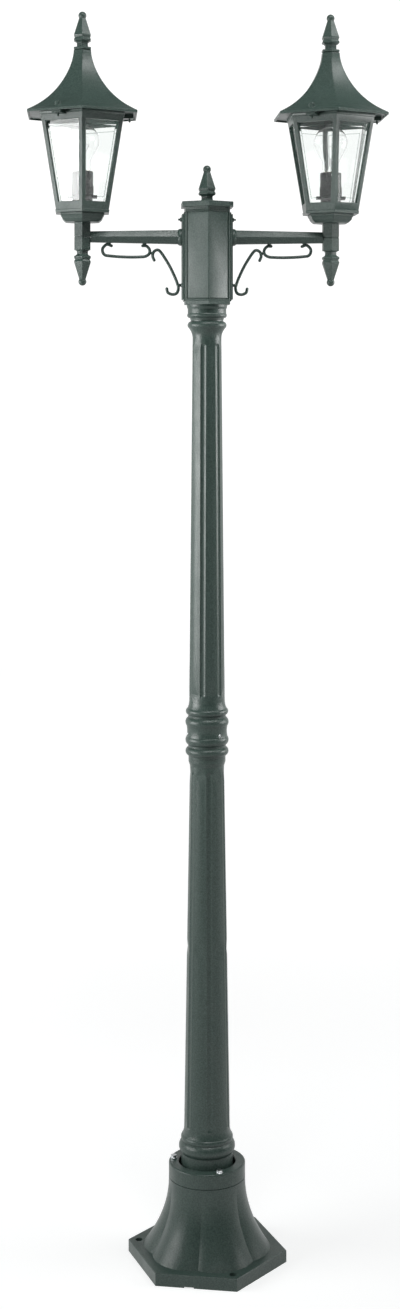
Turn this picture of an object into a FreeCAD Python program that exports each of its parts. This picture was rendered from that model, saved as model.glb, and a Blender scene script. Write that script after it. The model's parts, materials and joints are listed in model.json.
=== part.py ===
# Garden lamp post with two lanterns, in painted cast aluminium.
# Millimetres. The origin is on the ground at the post's axis, +Z is up, and the arms lie along X.
# Every size is a cell of the sheet, and every sub-part is bound to those cells.
import FreeCAD, Part
import math
import os
import re
import Sketcher

# Driving sizes in millimetres
SIZES = {
    # Base casting: hexagonal flange, lobed bell and the seat for the post
    "flange_corner_radius": 144.5, "flange_height": 22, "flange_bevel": 1.5,
    "anchor_circle_radius": 125, "anchor_hole_radius": 6.5,
    "bell_height": 126, "bell_foot_radius": 115, "bell_neck_radius": 69, "casting_wall": 9,
    "seat_floor": 16, "cable_bore_radius": 34,
    "drain_notch_width": 17, "drain_notch_height": 2, "drain_notch_offset": 13,
    # Clamp ring and its bolts
    "ring_height": 27, "ring_bore_radius": 51, "ring_rounding": 3, "ring_seam": 1.2,
    "bolt_circle_radius": 61, "bolt_radius": 3, "bolt_length": 45, "bolt_head_flats": 10,
    "bolt_head_height": 4, "washer_radius": 6.4, "washer_thickness": 1.2,
    # Lower shaft
    "lower_shaft_length": 785, "foot_flange_radius": 56, "foot_flange_height": 8,
    "foot_neck_radius": 46.5, "foot_neck_height": 44, "foot_bead_radius": 50.8, "foot_bead_height": 22,
    "foot_groove_radius": 45.8, "foot_groove_height": 1, "foot_ledge_radius": 47,
    "foot_ledge_height": 9, "foot_cove_radius": 44.6, "foot_cove_height": 11,
    "lower_shaft_foot_radius": 41.5, "lower_shaft_top_radius": 31, "lower_bore_radius": 34,
    # Joint between the shafts
    "joint_bead_radius": 39, "joint_bead_height": 15, "joint_groove_radius": 34.1, "joint_lip": 2,
    "joint_waist_radius": 35.9, "joint_collar_radius": 33.5, "joint_collar_height": 11,
    "sleeve_height": 54, "joint_bore_radius": 25, "joint_socket_depth": 84,
    "spigot_wall": 4, "spigot_depth": 76, "grub_screw_radius": 3, "grub_screw_rise": 21.5,
    "grub_screw_stand": 0.6, "grub_socket_radius": 1.5, "grub_socket_depth": 2.5,
    # Upper shaft
    "upper_shaft_length": 715, "upper_shaft_foot_radius": 32.3, "upper_shaft_top_radius": 26.2,
    "upper_bead_height": 12, "upper_cove_height": 12, "upper_bore_radius": 21.4,
    "neck_height": 32, "neck_torus_radius": 35.2, "neck_torus_height": 13,
    "neck_groove_radius": 29.7,
    # Flutes of both shafts
    "lower_flute_radius": 10, "lower_flute_depth": 1.8, "lower_flute_inset": 14,
    "upper_flute_radius": 9, "upper_flute_depth": 2.2, "upper_flute_inset": 16,
    # Junction box on top of the post
    "box_base_height": 34, "box_base_spigot_radius": 21.2, "box_base_spigot_depth": 30,
    "box_base_bore_radius": 15, "box_collar_radius": 36.5, "box_collar_waist": 34.9,
    "box_collar_lip": 4, "box_trim_height": 6,
    "box_flats": 80.5, "box_height": 164, "box_wall": 3.5,
    "panel_half_width": 37.6, "panel_inset": 3, "panel_line_width": 2.2, "panel_line_depth": 1.4,
    "cap_neck_height": 5.5, "cap_flats": 92, "cap_rim_height": 9.5, "cap_rise": 3.2,
    "cap_top_flats": 25, "cap_plug_depth": 8, "cap_clearance": 0.35,
    "stud_radius": 3, "stud_engagement": 12, "stud_clearance": 0.3,
    "bridge_width": 16, "bridge_thickness": 3, "bridge_drop": 24,
    "terminal_width": 15, "terminal_length": 24, "terminal_height": 12, "terminal_start": 9,
    "terminal_hole_radius": 1.7,
    # Spikes with a ball: one profile for the box, the roofs and the pendants
    "finial_height": 64, "finial_disc_flats": 30.2, "finial_neck_flats": 19.9, "finial_foot_flats": 24,
    "finial_groove_flats": 27, "finial_cone_edge_flats": 29, "finial_cone_flats": 30.2,
    "finial_tip_flats": 12.2, "finial_throat_flats": 11.4,
    "finial_ball_radius": 7.2, "finial_plinth_height": 6.5, "finial_plinth_flats": 30.8,
    "finial_spigot_radius": 4,
    # Arms with their plates, nuts and screws
    "arm_drop": 48, "plate_width": 42, "plate_top_margin": 4, "plate_thickness": 2.5,
    "plate_step_thickness": 3, "plate_step_inset": 3,
    "arm_root_flats": 25.2, "arm_tip_flats": 19.8, "arm_bore_radius": 5,
    "arm_boss_radius": 15.4, "arm_boss_length": 8, "arm_boss_edge": 1, "arm_boss_end_radius": 11.2,
    "arm_boss_crown": 2.2, "arm_boss_crown_radius": 14.3,
    "arm_spigot_radius": 8, "arm_spigot_clearance": 0.3,
    "arm_nut_flats": 24, "arm_nut_thickness": 6, "arm_thread_spare": 2,
    "plate_screw_drop": 16, "plate_screw_radius": 2, "plate_screw_head_radius": 3.9,
    "plate_screw_head_height": 3.6, "plate_screw_head_round": 0.8, "plate_screw_point": 3.4,
    # Scrolls of round rod
    "rod_radius": 2.75, "scroll_foot_clearance": 12, "scroll_headroom": 0.4, "scroll_gap": 0.1,
    # Columns at the arms' ends
    "lantern_reach": 225, "column_flats": 29, "column_drop": 24, "column_rise": 26,
    "column_line_height": 1.6, "column_line_depth": 1, "column_bore_radius": 7,
    "tie_tube_radius": 5, "tie_tube_bore_radius": 3.6, "tie_tube_engagement": 13,
    "tie_nut_flats": 17, "tie_nut_thickness": 5, "tie_tube_stand": 16,
    # Lantern base and cage
    "lantern_base_height": 16, "lantern_base_flats": 78.7, "bowl_flats": 59, "base_recess_flats": 58,
    "base_recess_depth": 7,
    "cage_height": 178, "cage_bottom_flats": 93, "cage_top_flats": 149.4, "cage_wall": 6,
    "cage_floor": 4, "cage_floor_opening_flats": 62, "post_width": 14.4, "window_sill": 19,
    "window_head": 16, "pane_thickness": 3, "pane_margin": 3.5, "pane_side_margin": 1.6,
    "pane_clearance": 0.1,
    "rail_step_height": 5, "rail_step_out": 1.2,
    "lug_width": 18, "lug_height": 7, "lug_circle_radius": 85, "lug_reach": 7,
    # Lampholder and lamp
    "pedestal_height": 26, "pedestal_radius": 18, "pedestal_wall": 1.5, "pedestal_foot_radius": 37,
    "bracket_length": 52, "bracket_width": 13, "bracket_thickness": 3,
    "holder_radius": 19.5, "holder_height": 43, "holder_floor": 17, "holder_rim_step": 0.8,
    "holder_wire_radius": 5, "shell_radius": 14.3, "shell_wall": 0.8, "shell_inset": 1.5,
    "lamp_cap_radius": 13.2, "lamp_cap_stand": 1, "lamp_contact_radius": 4.5,
    "lamp_contact_height": 1.6, "lamp_contact_gap": 0.4, "lamp_cap_taper": 3,
    "lamp_glass_radius": 30, "lamp_glass_height": 84, "lamp_neck_radius": 14.5, "glass_wall": 1,
    "lamp_stem_radius": 6.5, "lamp_stem_top_radius": 2.5, "lamp_stem_height": 26,
    "lead_radius": 0.6, "lead_height": 22, "filament_span": 22,
    # Roof
    "roof_height": 115.5, "eave_flats": 195.6, "eave_height": 2, "eave_drop": 2.5,
    "rim_wall": 3, "roof_top_flats": 31, "roof_wall": 5, "roof_crown": 15,
    "roof_plate_thickness": 3, "roof_opening_flats": 120, "roof_pad_radius": 6, "roof_pad_rise": 13,
    "roof_screw_radius": 1.9, "roof_screw_head_radius": 4.2, "roof_screw_head_height": 2.8,
    "roof_screw_length": 26, "roof_screw_clearance": 0.3,
    # One overrun for every cut
    "overrun": 10,
}

# Angles in degrees, powers, and shares of the sizes that they follow
SHARES = {
    "base_turn_angle": 47.8, "drain_notch_angle": -150, "lower_flute_angle": 33.5,
    "upper_flute_angle": 11.5, "grub_screw_angle": 66, "roof_screw_angle": 120,
    "hexagon_turn_angle": 30, "bulb_cone_angle": 30,
    "bell_sweep_power": 2.1, "bell_crease_share": 0.085,
    "neck_cove_share": 0.6, "neck_torus_share": 0.42, "holder_step_share": 0.4,
    "bend_reach_share": 0.45, "scroll_top_share": 0.125,
}

Z_AXIS = FreeCAD.Vector(0, 0, 1)
Y_AXIS = FreeCAD.Vector(0, 1, 0)
X_AXIS = FreeCAD.Vector(1, 0, 0)
SIDES = {"left": -1, "right": 1}
H_LINE, V_LINE, ORIGIN = -1, -2, -1
WORD = re.compile(r"[a-z][a-z0-9_]*")

doc = FreeCAD.newDocument("GardenLampPost")
sheet = doc.addObject("Spreadsheet::Sheet", "Sizes")
for line, (alias, size) in enumerate({**SIZES, **SHARES}.items(), start=1):
    sheet.set(f"A{line}", alias)
    sheet.set(f"B{line}", str(size))
    sheet.setAlias(f"B{line}", alias)
doc.recompute()

nodes = []


# Expressions and bindings

def expr(text):
    """Turn the size names in an expression into references to the sheet."""
    return WORD.sub(lambda m: "Sizes." + m[0] if m[0] in SIZES or m[0] in SHARES else m[0], text)


def number(text):
    """Work out an expression of size names."""
    result = sheet.evalExpression(expr(text))
    return float(getattr(result, "Value", result))


def bind(item, **sizes):
    """Bind properties of an object to expressions of size names."""
    for name, text in sizes.items():
        item.setExpression(name, expr(text))
    return item


def place(item, across="0", deep="0", up="0", axis=Z_AXIS, angle=0.0):
    """Turn an object and bind its position to expressions of size names."""
    item.Placement = FreeCAD.Placement(FreeCAD.Vector(), FreeCAD.Rotation(axis, angle))
    for path, text in (("x", across), ("y", deep), ("z", up)):
        if text != "0":
            item.setExpression("Placement.Base." + path, expr(text))
    return item


def node(item, label):
    """Name a finished sub-part and keep it for export."""
    item.Label = label
    nodes.append(item)
    return item


# Levels on the post's axis and on the lanterns' axis

BASE_TOP = "(flange_height + bell_height)"
SEAT = f"({BASE_TOP} - foot_flange_height)"
RING_TOP = f"({BASE_TOP} + ring_height)"
SLEEVE_FOOT = f"({SEAT} + lower_shaft_length)"
UPPER_FOOT = f"({SLEEVE_FOOT} + sleeve_height)"
UPPER_TOP = f"({UPPER_FOOT} + upper_shaft_length)"
BOX_FOOT = f"({UPPER_TOP} + box_base_height)"
BOX_TOP = f"({BOX_FOOT} + box_height)"
CAP_TOP = f"({BOX_TOP} + cap_neck_height + cap_rim_height + cap_rise)"
BRIDGE_TOP = f"({BOX_TOP} - bridge_drop)"
ARM_AXIS = f"({BOX_TOP} - arm_drop)"
PLATE_FACE = "(box_flats / 2 + plate_thickness + plate_step_thickness)"
COLUMN_FOOT = f"({ARM_AXIS} - column_drop)"
COLUMN_TOP = f"({ARM_AXIS} + column_rise)"
CAGE_FOOT = f"({COLUMN_TOP} + lantern_base_height)"
CAGE_TOP = f"({CAGE_FOOT} + cage_height)"
CAGE_FLOOR = f"({CAGE_FOOT} + cage_floor)"
HOLDER_FOOT = f"({CAGE_FLOOR} + pedestal_height + bracket_thickness)"
HOLDER_TOP = f"({HOLDER_FOOT} + holder_height)"
LAMP_CAP_TOP = f"({HOLDER_TOP} + lamp_cap_stand)"
ROOF_TOP = f"({CAGE_TOP} + roof_height)"
EAVE_TOP = f"({CAGE_TOP} + eave_height)"


# Sketches and features of a body

def new_body(label):
    """Make a body for one sub-part."""
    return node(doc.addObject("PartDesign::Body", label), label)


def origin_feature(body, role):
    """Find a plane or an axis of a body's origin."""
    return next(item for item in body.Origin.OriginFeatures if item.Role == role)


def new_sketch(body, role="XY_Plane", away="0", turn=0.0):
    """Make a sketch on a plane of the body's origin, moved along its normal and turned in it."""
    sketch = body.newObject("Sketcher::SketchObject", "Sketch")
    sketch.AttachmentSupport = [(origin_feature(body, role), "")]
    sketch.MapMode = "FlatFace"
    sketch.AttachmentOffset = FreeCAD.Placement(FreeCAD.Vector(), FreeCAD.Rotation(Z_AXIS, turn))
    if away != "0":
        sketch.setExpression("AttachmentOffset.Base.z", expr(away))
    return sketch


def tie(sketch, geometry, point, across, up):
    """Tie a point of a sketch to two expressions, or to an axis where one is zero."""
    for kind, text, line in (("DistanceX", across, V_LINE), ("DistanceY", up, H_LINE)):
        if text == "0":
            sketch.addConstraint(Sketcher.Constraint("PointOnObject", geometry, point, line))
            continue
        rule = Sketcher.Constraint(kind, ORIGIN, 1, geometry, point, number(text))
        sketch.setExpression(f"Constraints[{sketch.addConstraint(rule)}]", expr(text))


def draw(sketch, points):
    """Draw a closed outline. A point is (across, up), and two more expressions make the stretch
    that ends there an arc through that middle point."""
    corners = [FreeCAD.Vector(number(point[0]), number(point[1]), 0) for point in points]
    ends = []
    for index, point in enumerate(points):
        if len(point) == 2:
            edge = sketch.addGeometry(Part.LineSegment(corners[index - 1], corners[index]))
            tie(sketch, edge, 2, *point)
            ends.append((edge, 1, 2))
            continue
        middle = FreeCAD.Vector(number(point[2]), number(point[3]), 0)
        edge = sketch.addGeometry(Part.Arc(corners[index - 1], middle, corners[index]))
        turned_round = (sketch.getPoint(edge, 1) - corners[index]).Length < Part.Precision.confusion()
        first, last = (2, 1) if turned_round else (1, 2)
        tie(sketch, edge, last, point[0], point[1])
        mark = sketch.addGeometry(Part.Point(middle), True)
        tie(sketch, mark, 1, point[2], point[3])
        sketch.addConstraint(Sketcher.Constraint("PointOnObject", mark, 1, edge))
        ends.append((edge, first, last))
    for index, (edge, first, _) in enumerate(ends):
        before, _, last = ends[index - 1]
        sketch.addConstraint(Sketcher.Constraint("Coincident", before, last, edge, first))
    return sketch


def draw_circle(sketch, across, up, radius):
    """Draw a circle whose centre and radius are expressions."""
    centre = FreeCAD.Vector(number(across), number(up), 0)
    edge = sketch.addGeometry(Part.Circle(centre, Z_AXIS, number(radius)))
    if across == "0" and up == "0":
        sketch.addConstraint(Sketcher.Constraint("Coincident", edge, 3, ORIGIN, 1))
    else:
        tie(sketch, edge, 3, across, up)
    index = sketch.addConstraint(Sketcher.Constraint("Radius", edge, number(radius)))
    sketch.setExpression(f"Constraints[{index}]", expr(radius))
    return sketch


def hexagon(radius, turn=0, across="0"):
    """Give the corners of a hexagon as expressions."""
    return [(f"{across} + ({radius}) * cos({turn + 60 * corner})",
             f"({radius}) * sin({turn + 60 * corner})") for corner in range(6)]


def turn_feature(body, points, cut=False, axis="V_Axis"):
    """Revolve an outline of the XZ plane round an axis, to add it or to cut it away."""
    sketch = draw(new_sketch(body, "XZ_Plane"), points)
    feature = body.newObject("PartDesign::Groove" if cut else "PartDesign::Revolution", "Turn")
    feature.Profile = sketch
    feature.ReferenceAxis = (sketch, [axis])
    feature.Angle = 360
    return feature


def pad(body, sketch, length, down=False):
    """Pad a sketch along its normal, or the other way."""
    feature = body.newObject("PartDesign::Pad", "Pad")
    feature.Profile = sketch
    feature.Reversed = down
    return bind(feature, Length=length)


def pocket(body, sketch, length=None, up=False):
    """Pocket a sketch to a length, or through everything on both sides."""
    feature = body.newObject("PartDesign::Pocket", "Pocket")
    feature.Profile = sketch
    if length is None:
        feature.Type = "ThroughAll"
        feature.SideType = "Symmetric"
        return feature
    feature.Reversed = up
    return bind(feature, Length=length)


def around(body, features, count):
    """Repeat features round the body's Z axis."""
    pattern = body.newObject("PartDesign::PolarPattern", "Around")
    pattern.Originals = features
    pattern.Axis = (origin_feature(body, "Z_Axis"), [""])
    pattern.Angle = 360
    pattern.Occurrences = count
    body.Tip = pattern
    return pattern


def loft_feature(body, sketches, ruled):
    """Loft through sketches."""
    feature = body.newObject("PartDesign::AdditiveLoft", "Loft")
    feature.Profile = sketches[0]
    feature.Sections = sketches[1:]
    feature.Ruled = ruled
    return feature


# Part primitives

def block(length, width, height, across="0", deep="0", up="0"):
    """Make a box, centred across and deep, that stands at a level."""
    item = bind(doc.addObject("Part::Box", "Block"), Length=length, Width=width, Height=height)
    return place(item, f"{across} - ({length}) / 2", f"{deep} - ({width}) / 2", up)


def rod(radius, height, across="0", deep="0", up="0", axis=Z_AXIS, angle=0.0):
    """Make a cylinder."""
    item = bind(doc.addObject("Part::Cylinder", "Rod"), Radius=radius, Height=height)
    return place(item, across, deep, up, axis, angle)


def hex_prism(flats, height, up="0"):
    """Make an upright hexagonal prism with a corner towards the front."""
    item = doc.addObject("Part::Prism", "HexPrism")
    item.Polygon = 6
    bind(item, Circumradius=f"({flats}) / sqrt(3)", Height=height)
    return place(item, up=up, angle=SHARES["hexagon_turn_angle"])


def hex_loft(levels, smooth=False):
    """Loft upright hexagons. A level is (height, width across flats)."""
    sections = []
    for up, flats in levels:
        section = doc.addObject("Part::RegularPolygon", "Level")
        section.Polygon = 6
        bind(section, Circumradius=f"({flats}) / sqrt(3)")
        sections.append(place(section, up=up, angle=SHARES["hexagon_turn_angle"]))
    loft = doc.addObject("Part::Loft", "HexLoft")
    loft.Sections = sections
    loft.Solid = True
    loft.Ruled = not smooth
    return loft


def fuse(*items):
    """Join solids."""
    joined = doc.addObject("Part::MultiFuse", "Join")
    joined.Shapes = list(items)
    return joined


def cut(base, *tools):
    """Cut solids away from a solid."""
    result = doc.addObject("Part::Cut", "Cut")
    result.Base = base
    result.Tool = fuse(*tools) if len(tools) > 1 else tools[0]
    return result


def common(base, tool):
    """Keep what two solids share."""
    result = doc.addObject("Part::Common", "Common")
    result.Base = base
    result.Tool = tool
    return result


def post_side(item, side):
    """Turn a piece that is modelled for the right-hand arm to its own side."""
    return place(item, angle=0.0 if SIDES[side] > 0 else 180.0)


def lantern_side(item, side, turned=False):
    """Move a piece that is modelled on the lantern's axis to its own side."""
    half_turn = 180.0 if turned and SIDES[side] < 0 else 0.0
    return place(item, across=f"lantern_reach * {SIDES[side]}", angle=half_turn)


# Base

BELL_LEVEL_SHARES = [0, 0.12, 0.28, 0.48, 0.72, 1]
CAVITY_LEVEL_SHARES = [0, 0.28, 0.48, 0.72]


def bell_radius(share):
    """Radius of the bell's lobes at a share of its height: a concave sweep from foot to neck."""
    return ("(bell_neck_radius + (bell_foot_radius - bell_neck_radius)"
            f" * (1 - {share})^bell_sweep_power)")


def crease_radius(share):
    """Radius of the creases between the lobes, which run out at the neck."""
    return f"({bell_radius(share)} * (1 - bell_crease_share * (1 - {share}^2)))"


def lobed_outline(share):
    """Six arcs that bulge towards the flange's corners and meet in creases."""
    points = []
    for lobe in range(6):
        edge, crown = 60 * lobe + 30, 60 * lobe
        points.append((f"{crease_radius(share)} * cos({edge})", f"{crease_radius(share)} * sin({edge})",
                       f"{bell_radius(share)} * cos({crown})", f"{bell_radius(share)} * sin({crown})"))
    return points


def base_casting():
    """Hexagonal flange, lobed bell that is hollow from below, and the seat for the post."""
    body = new_body("base_casting")
    place(body, angle=SHARES["base_turn_angle"])
    flange = [("0", "flange_corner_radius"),
              ("flange_height - flange_bevel", "flange_corner_radius"),
              ("flange_height", "flange_corner_radius - flange_bevel")]
    loft_feature(body, [draw(new_sketch(body, away=up), hexagon(radius)) for up, radius in flange], True)
    bell = [draw(new_sketch(body, away=f"flange_height + bell_height * {share}"), lobed_outline(share))
            for share in BELL_LEVEL_SHARES]
    loft_feature(body, bell, False)
    cavity = [("0", "0"), (f"{crease_radius(0)} - casting_wall", "0")]
    cavity += [(f"{crease_radius(share)} - casting_wall", f"flange_height + bell_height * {share}")
               for share in CAVITY_LEVEL_SHARES]
    cavity += [("bell_neck_radius - casting_wall", f"{SEAT} - seat_floor"),
               ("cable_bore_radius", f"{SEAT} - seat_floor"), ("cable_bore_radius", SEAT),
               ("foot_flange_radius + stud_clearance", SEAT),
               ("foot_flange_radius + stud_clearance", BASE_TOP), ("0", BASE_TOP)]
    turn_feature(body, cavity, cut=True)
    anchors = pocket(body, draw_circle(new_sketch(body), "anchor_circle_radius", "0",
                                       "anchor_hole_radius"))
    tapped = pocket(body, draw_circle(new_sketch(body, away=BASE_TOP), "bolt_circle_radius", "0",
                                      "bolt_radius"), "bolt_length - ring_height")
    around(body, [anchors, tapped], 3)
    half = "drain_notch_width / 2"
    inner, outer = "bell_foot_radius / 2", "flange_corner_radius + overrun"
    notch = draw(new_sketch(body, turn=SHARES["drain_notch_angle"]),
                 [(inner, f"-drain_notch_offset - {half}"), (outer, f"-drain_notch_offset - {half}"),
                  (outer, f"-drain_notch_offset + {half}"), (inner, f"-drain_notch_offset + {half}")])
    body.Tip = pocket(body, notch, "drain_notch_height", up=True)


def clamp_ring():
    """Round ring on the bell that clamps the post's foot flange."""
    body = new_body("clamp_ring")
    place(body, angle=SHARES["base_turn_angle"])
    edge = f"({RING_TOP} - ring_rounding)"
    turn_feature(body, [
        ("ring_bore_radius", BASE_TOP), ("bell_neck_radius - ring_seam", BASE_TOP),
        ("bell_neck_radius", f"{BASE_TOP} + ring_seam"), ("bell_neck_radius", edge),
        ("bell_neck_radius - ring_rounding", RING_TOP,
         "bell_neck_radius - ring_rounding * (1 - sin(45))", f"{edge} + ring_rounding * sin(45)"),
        ("ring_bore_radius + ring_seam", RING_TOP), ("ring_bore_radius", f"{RING_TOP} - ring_seam")])
    holes = pocket(body, draw_circle(new_sketch(body), "bolt_circle_radius", "0",
                                     "bolt_radius + stud_clearance"))
    around(body, [holes], 3)


def clamp_bolts():
    """Three hexagon bolts with washers."""
    body = new_body("clamp_bolts")
    place(body, angle=SHARES["base_turn_angle"])
    shank = pad(body, draw_circle(new_sketch(body, away=RING_TOP), "bolt_circle_radius", "0",
                                  "bolt_radius"), "bolt_length", down=True)
    washer = pad(body, draw_circle(new_sketch(body, away=RING_TOP), "bolt_circle_radius", "0",
                                   "washer_radius"), "washer_thickness")
    head = pad(body, draw(new_sketch(body, away=f"{RING_TOP} + washer_thickness"),
                          hexagon("bolt_head_flats / sqrt(3)", 0, "bolt_circle_radius")),
               "bolt_head_height")
    around(body, [shank, washer, head], 3)


# Shafts and the joint between them

def flutes(body, foot, top, foot_radius, top_radius, cutter, depth, angle):
    """Cut six round-ended flutes that follow the shaft's taper."""
    lean = f"atan(({foot_radius} - {top_radius}) / ({top} - {foot}))"
    length = f"(({top} - {foot}) / cos({lean}))"
    sketch = new_sketch(body, "XZ_Plane", turn=number(lean))
    sketch.setExpression("AttachmentOffset.Base.x", expr(f"{foot_radius} + {cutter} - {depth}"))
    sketch.setExpression("AttachmentOffset.Base.y", expr(foot))
    round_off = f"{cutter} * sin(45)"
    draw(sketch, [("0", f"-{cutter}", f"-{round_off}", f"-{round_off}"),
                  ("0", f"{length} + {cutter}"),
                  (f"-{cutter}", length, f"-{round_off}", f"{length} + {round_off}"),
                  (f"-{cutter}", "0")])
    feature = body.newObject("PartDesign::Groove", "Flute")
    feature.Profile = sketch
    feature.ReferenceAxis = (sketch, ["V_Axis"])
    feature.Angle = 360
    around(body, [feature], 6)
    place(body, angle=SHARES[angle])
    return feature


def bead(foot, height, root, crown, top_root=None):
    """Half-round bead of a turned profile: its foot, then the arc to its top."""
    return [(root, foot), (top_root or root, f"{foot} + {height}", crown, f"{foot} + ({height}) / 2")]


def lower_shaft():
    """Tapered fluted tube with a foot flange, foot mouldings and the lower half of the joint."""
    body = new_body("lower_shaft")
    neck_top = f"({SEAT} + foot_flange_height + foot_neck_height)"
    bead_top = f"({neck_top} + foot_bead_height)"
    ledge_foot = f"({bead_top} + foot_groove_height)"
    cove_foot = f"({ledge_foot} + foot_ledge_height)"
    shaft_foot = f"({cove_foot} + foot_cove_height)"
    collar_foot = f"({SLEEVE_FOOT} - joint_lip - joint_bead_height - joint_collar_height)"
    taper_top = f"({collar_foot} - joint_lip * 4)"
    outline = [("lower_bore_radius", SEAT), ("foot_flange_radius", SEAT), ("foot_flange_radius", BASE_TOP),
               ("foot_neck_radius", BASE_TOP)]
    outline += bead(neck_top, "foot_bead_height", "foot_neck_radius", "foot_bead_radius",
                    "foot_groove_radius")
    outline += bead(ledge_foot, "foot_ledge_height", "foot_groove_radius", "foot_ledge_radius",
                    "foot_cove_radius")
    outline += [("lower_shaft_foot_radius", shaft_foot,
                 "lower_shaft_foot_radius + (foot_cove_radius - lower_shaft_foot_radius) / 3",
                 f"{cove_foot} + foot_cove_height / 2"),
                ("lower_shaft_top_radius", taper_top),
                ("joint_collar_radius", collar_foot),
                ("joint_collar_radius", f"{collar_foot} + joint_collar_height - joint_lip")]
    outline += bead(f"({collar_foot} + joint_collar_height)", "joint_bead_height", "joint_groove_radius",
                    "joint_bead_radius")
    outline += [("joint_groove_radius", SLEEVE_FOOT), ("joint_bore_radius", SLEEVE_FOOT),
                ("joint_bore_radius", f"{SLEEVE_FOOT} - joint_socket_depth")]
    turn_feature(body, outline)
    flutes(body, f"({shaft_foot} + foot_ledge_height)", f"({taper_top} - lower_flute_inset)",
           "lower_shaft_foot_radius", "lower_shaft_top_radius",
           "lower_flute_radius", "lower_flute_depth", "lower_flute_angle")


def joint_sleeve():
    """Moulded sleeve between the shafts: two beads and a waist with three screw holes."""
    body = new_body("joint_sleeve")
    place(body, angle=SHARES["grub_screw_angle"] - 90.0)
    outline = [("joint_bore_radius", SLEEVE_FOOT), ("joint_groove_radius", SLEEVE_FOOT)]
    waist_edge = "(joint_waist_radius + ring_seam)"
    outline += bead(f"({SLEEVE_FOOT} + joint_lip)", "joint_bead_height", "joint_groove_radius",
                    "joint_bead_radius", waist_edge)
    outline += [(waist_edge, f"{UPPER_FOOT} - joint_lip - joint_bead_height",
                 "joint_waist_radius", f"{SLEEVE_FOOT} + sleeve_height / 2")]
    outline += bead(f"({UPPER_FOOT} - joint_lip - joint_bead_height)", "joint_bead_height",
                    waist_edge, "joint_bead_radius", "joint_groove_radius")[1:]
    outline += [("joint_groove_radius", UPPER_FOOT), ("joint_bore_radius", UPPER_FOOT)]
    turn_feature(body, outline)
    hole = new_sketch(body, "XZ_Plane", "spigot_wall - joint_bore_radius")
    draw_circle(hole, "0", f"{SLEEVE_FOOT} + grub_screw_rise", "grub_screw_radius")
    around(body, [pocket(body, hole, "joint_bead_radius")], 3)


def joint_spigot():
    """Tube inside the joint that lines the shafts up."""
    body = new_body("joint_spigot")
    foot = f"({SLEEVE_FOOT} - spigot_depth)"
    top = f"({UPPER_FOOT} + spigot_depth)"
    turn_feature(body, [("joint_bore_radius - spigot_wall", foot), ("joint_bore_radius", foot),
                        ("joint_bore_radius", top), ("joint_bore_radius - spigot_wall", top)])


def joint_screws():
    """Three socket grub screws that bear on the spigot."""
    body = new_body("joint_screws")
    place(body, up=f"{SLEEVE_FOOT} + grub_screw_rise", angle=SHARES["grub_screw_angle"])
    face = "(joint_waist_radius + grub_screw_stand)"
    screw = turn_feature(body, [
        ("joint_bore_radius", "0"), (f"{face} - grub_socket_depth", "0"),
        (f"{face} - grub_socket_depth", "grub_socket_radius"), (face, "grub_socket_radius"),
        (face, "grub_screw_radius"), ("joint_bore_radius", "grub_screw_radius")], axis="H_Axis")
    around(body, [screw], 3)


def upper_shaft():
    """Tapered fluted tube with the upper half of the joint and a flared neck."""
    body = new_body("upper_shaft")
    bead_top = f"({UPPER_FOOT} + joint_lip + upper_bead_height)"
    shaft_foot = f"({bead_top} + upper_cove_height)"
    neck_foot = f"({UPPER_TOP} - neck_height)"
    torus_foot = f"({UPPER_TOP} - neck_torus_height)"
    outline = [("joint_bore_radius", f"{UPPER_FOOT} + joint_socket_depth"),
               ("joint_bore_radius", UPPER_FOOT), ("joint_groove_radius", UPPER_FOOT)]
    outline += bead(f"({UPPER_FOOT} + joint_lip)", "upper_bead_height", "joint_groove_radius",
                    "joint_bead_radius - ring_seam / 2", "joint_groove_radius + ring_seam")
    outline += [("upper_shaft_foot_radius", shaft_foot,
                 "upper_shaft_foot_radius + (joint_groove_radius - upper_shaft_foot_radius) / 2",
                 f"{bead_top} + upper_cove_height / 2"),
                ("upper_shaft_top_radius", neck_foot),
                ("joint_groove_radius", torus_foot,
                 "upper_shaft_top_radius + (joint_groove_radius - upper_shaft_top_radius) / 3",
                 f"{neck_foot} + (neck_height - neck_torus_height) * neck_cove_share"),
                ("neck_groove_radius", f"{UPPER_TOP} - joint_lip", "neck_torus_radius",
                 f"{torus_foot} + neck_torus_height * neck_torus_share"),
                ("neck_groove_radius", UPPER_TOP), ("upper_bore_radius", UPPER_TOP),
                ("upper_bore_radius", f"{UPPER_FOOT} + joint_socket_depth + overrun")]
    turn_feature(body, outline)
    flutes(body, f"({shaft_foot} + upper_flute_inset)", f"({neck_foot} - upper_flute_inset)",
           "upper_shaft_foot_radius", "upper_shaft_top_radius",
           "upper_flute_radius", "upper_flute_depth", "upper_flute_angle")


# Junction box

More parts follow.
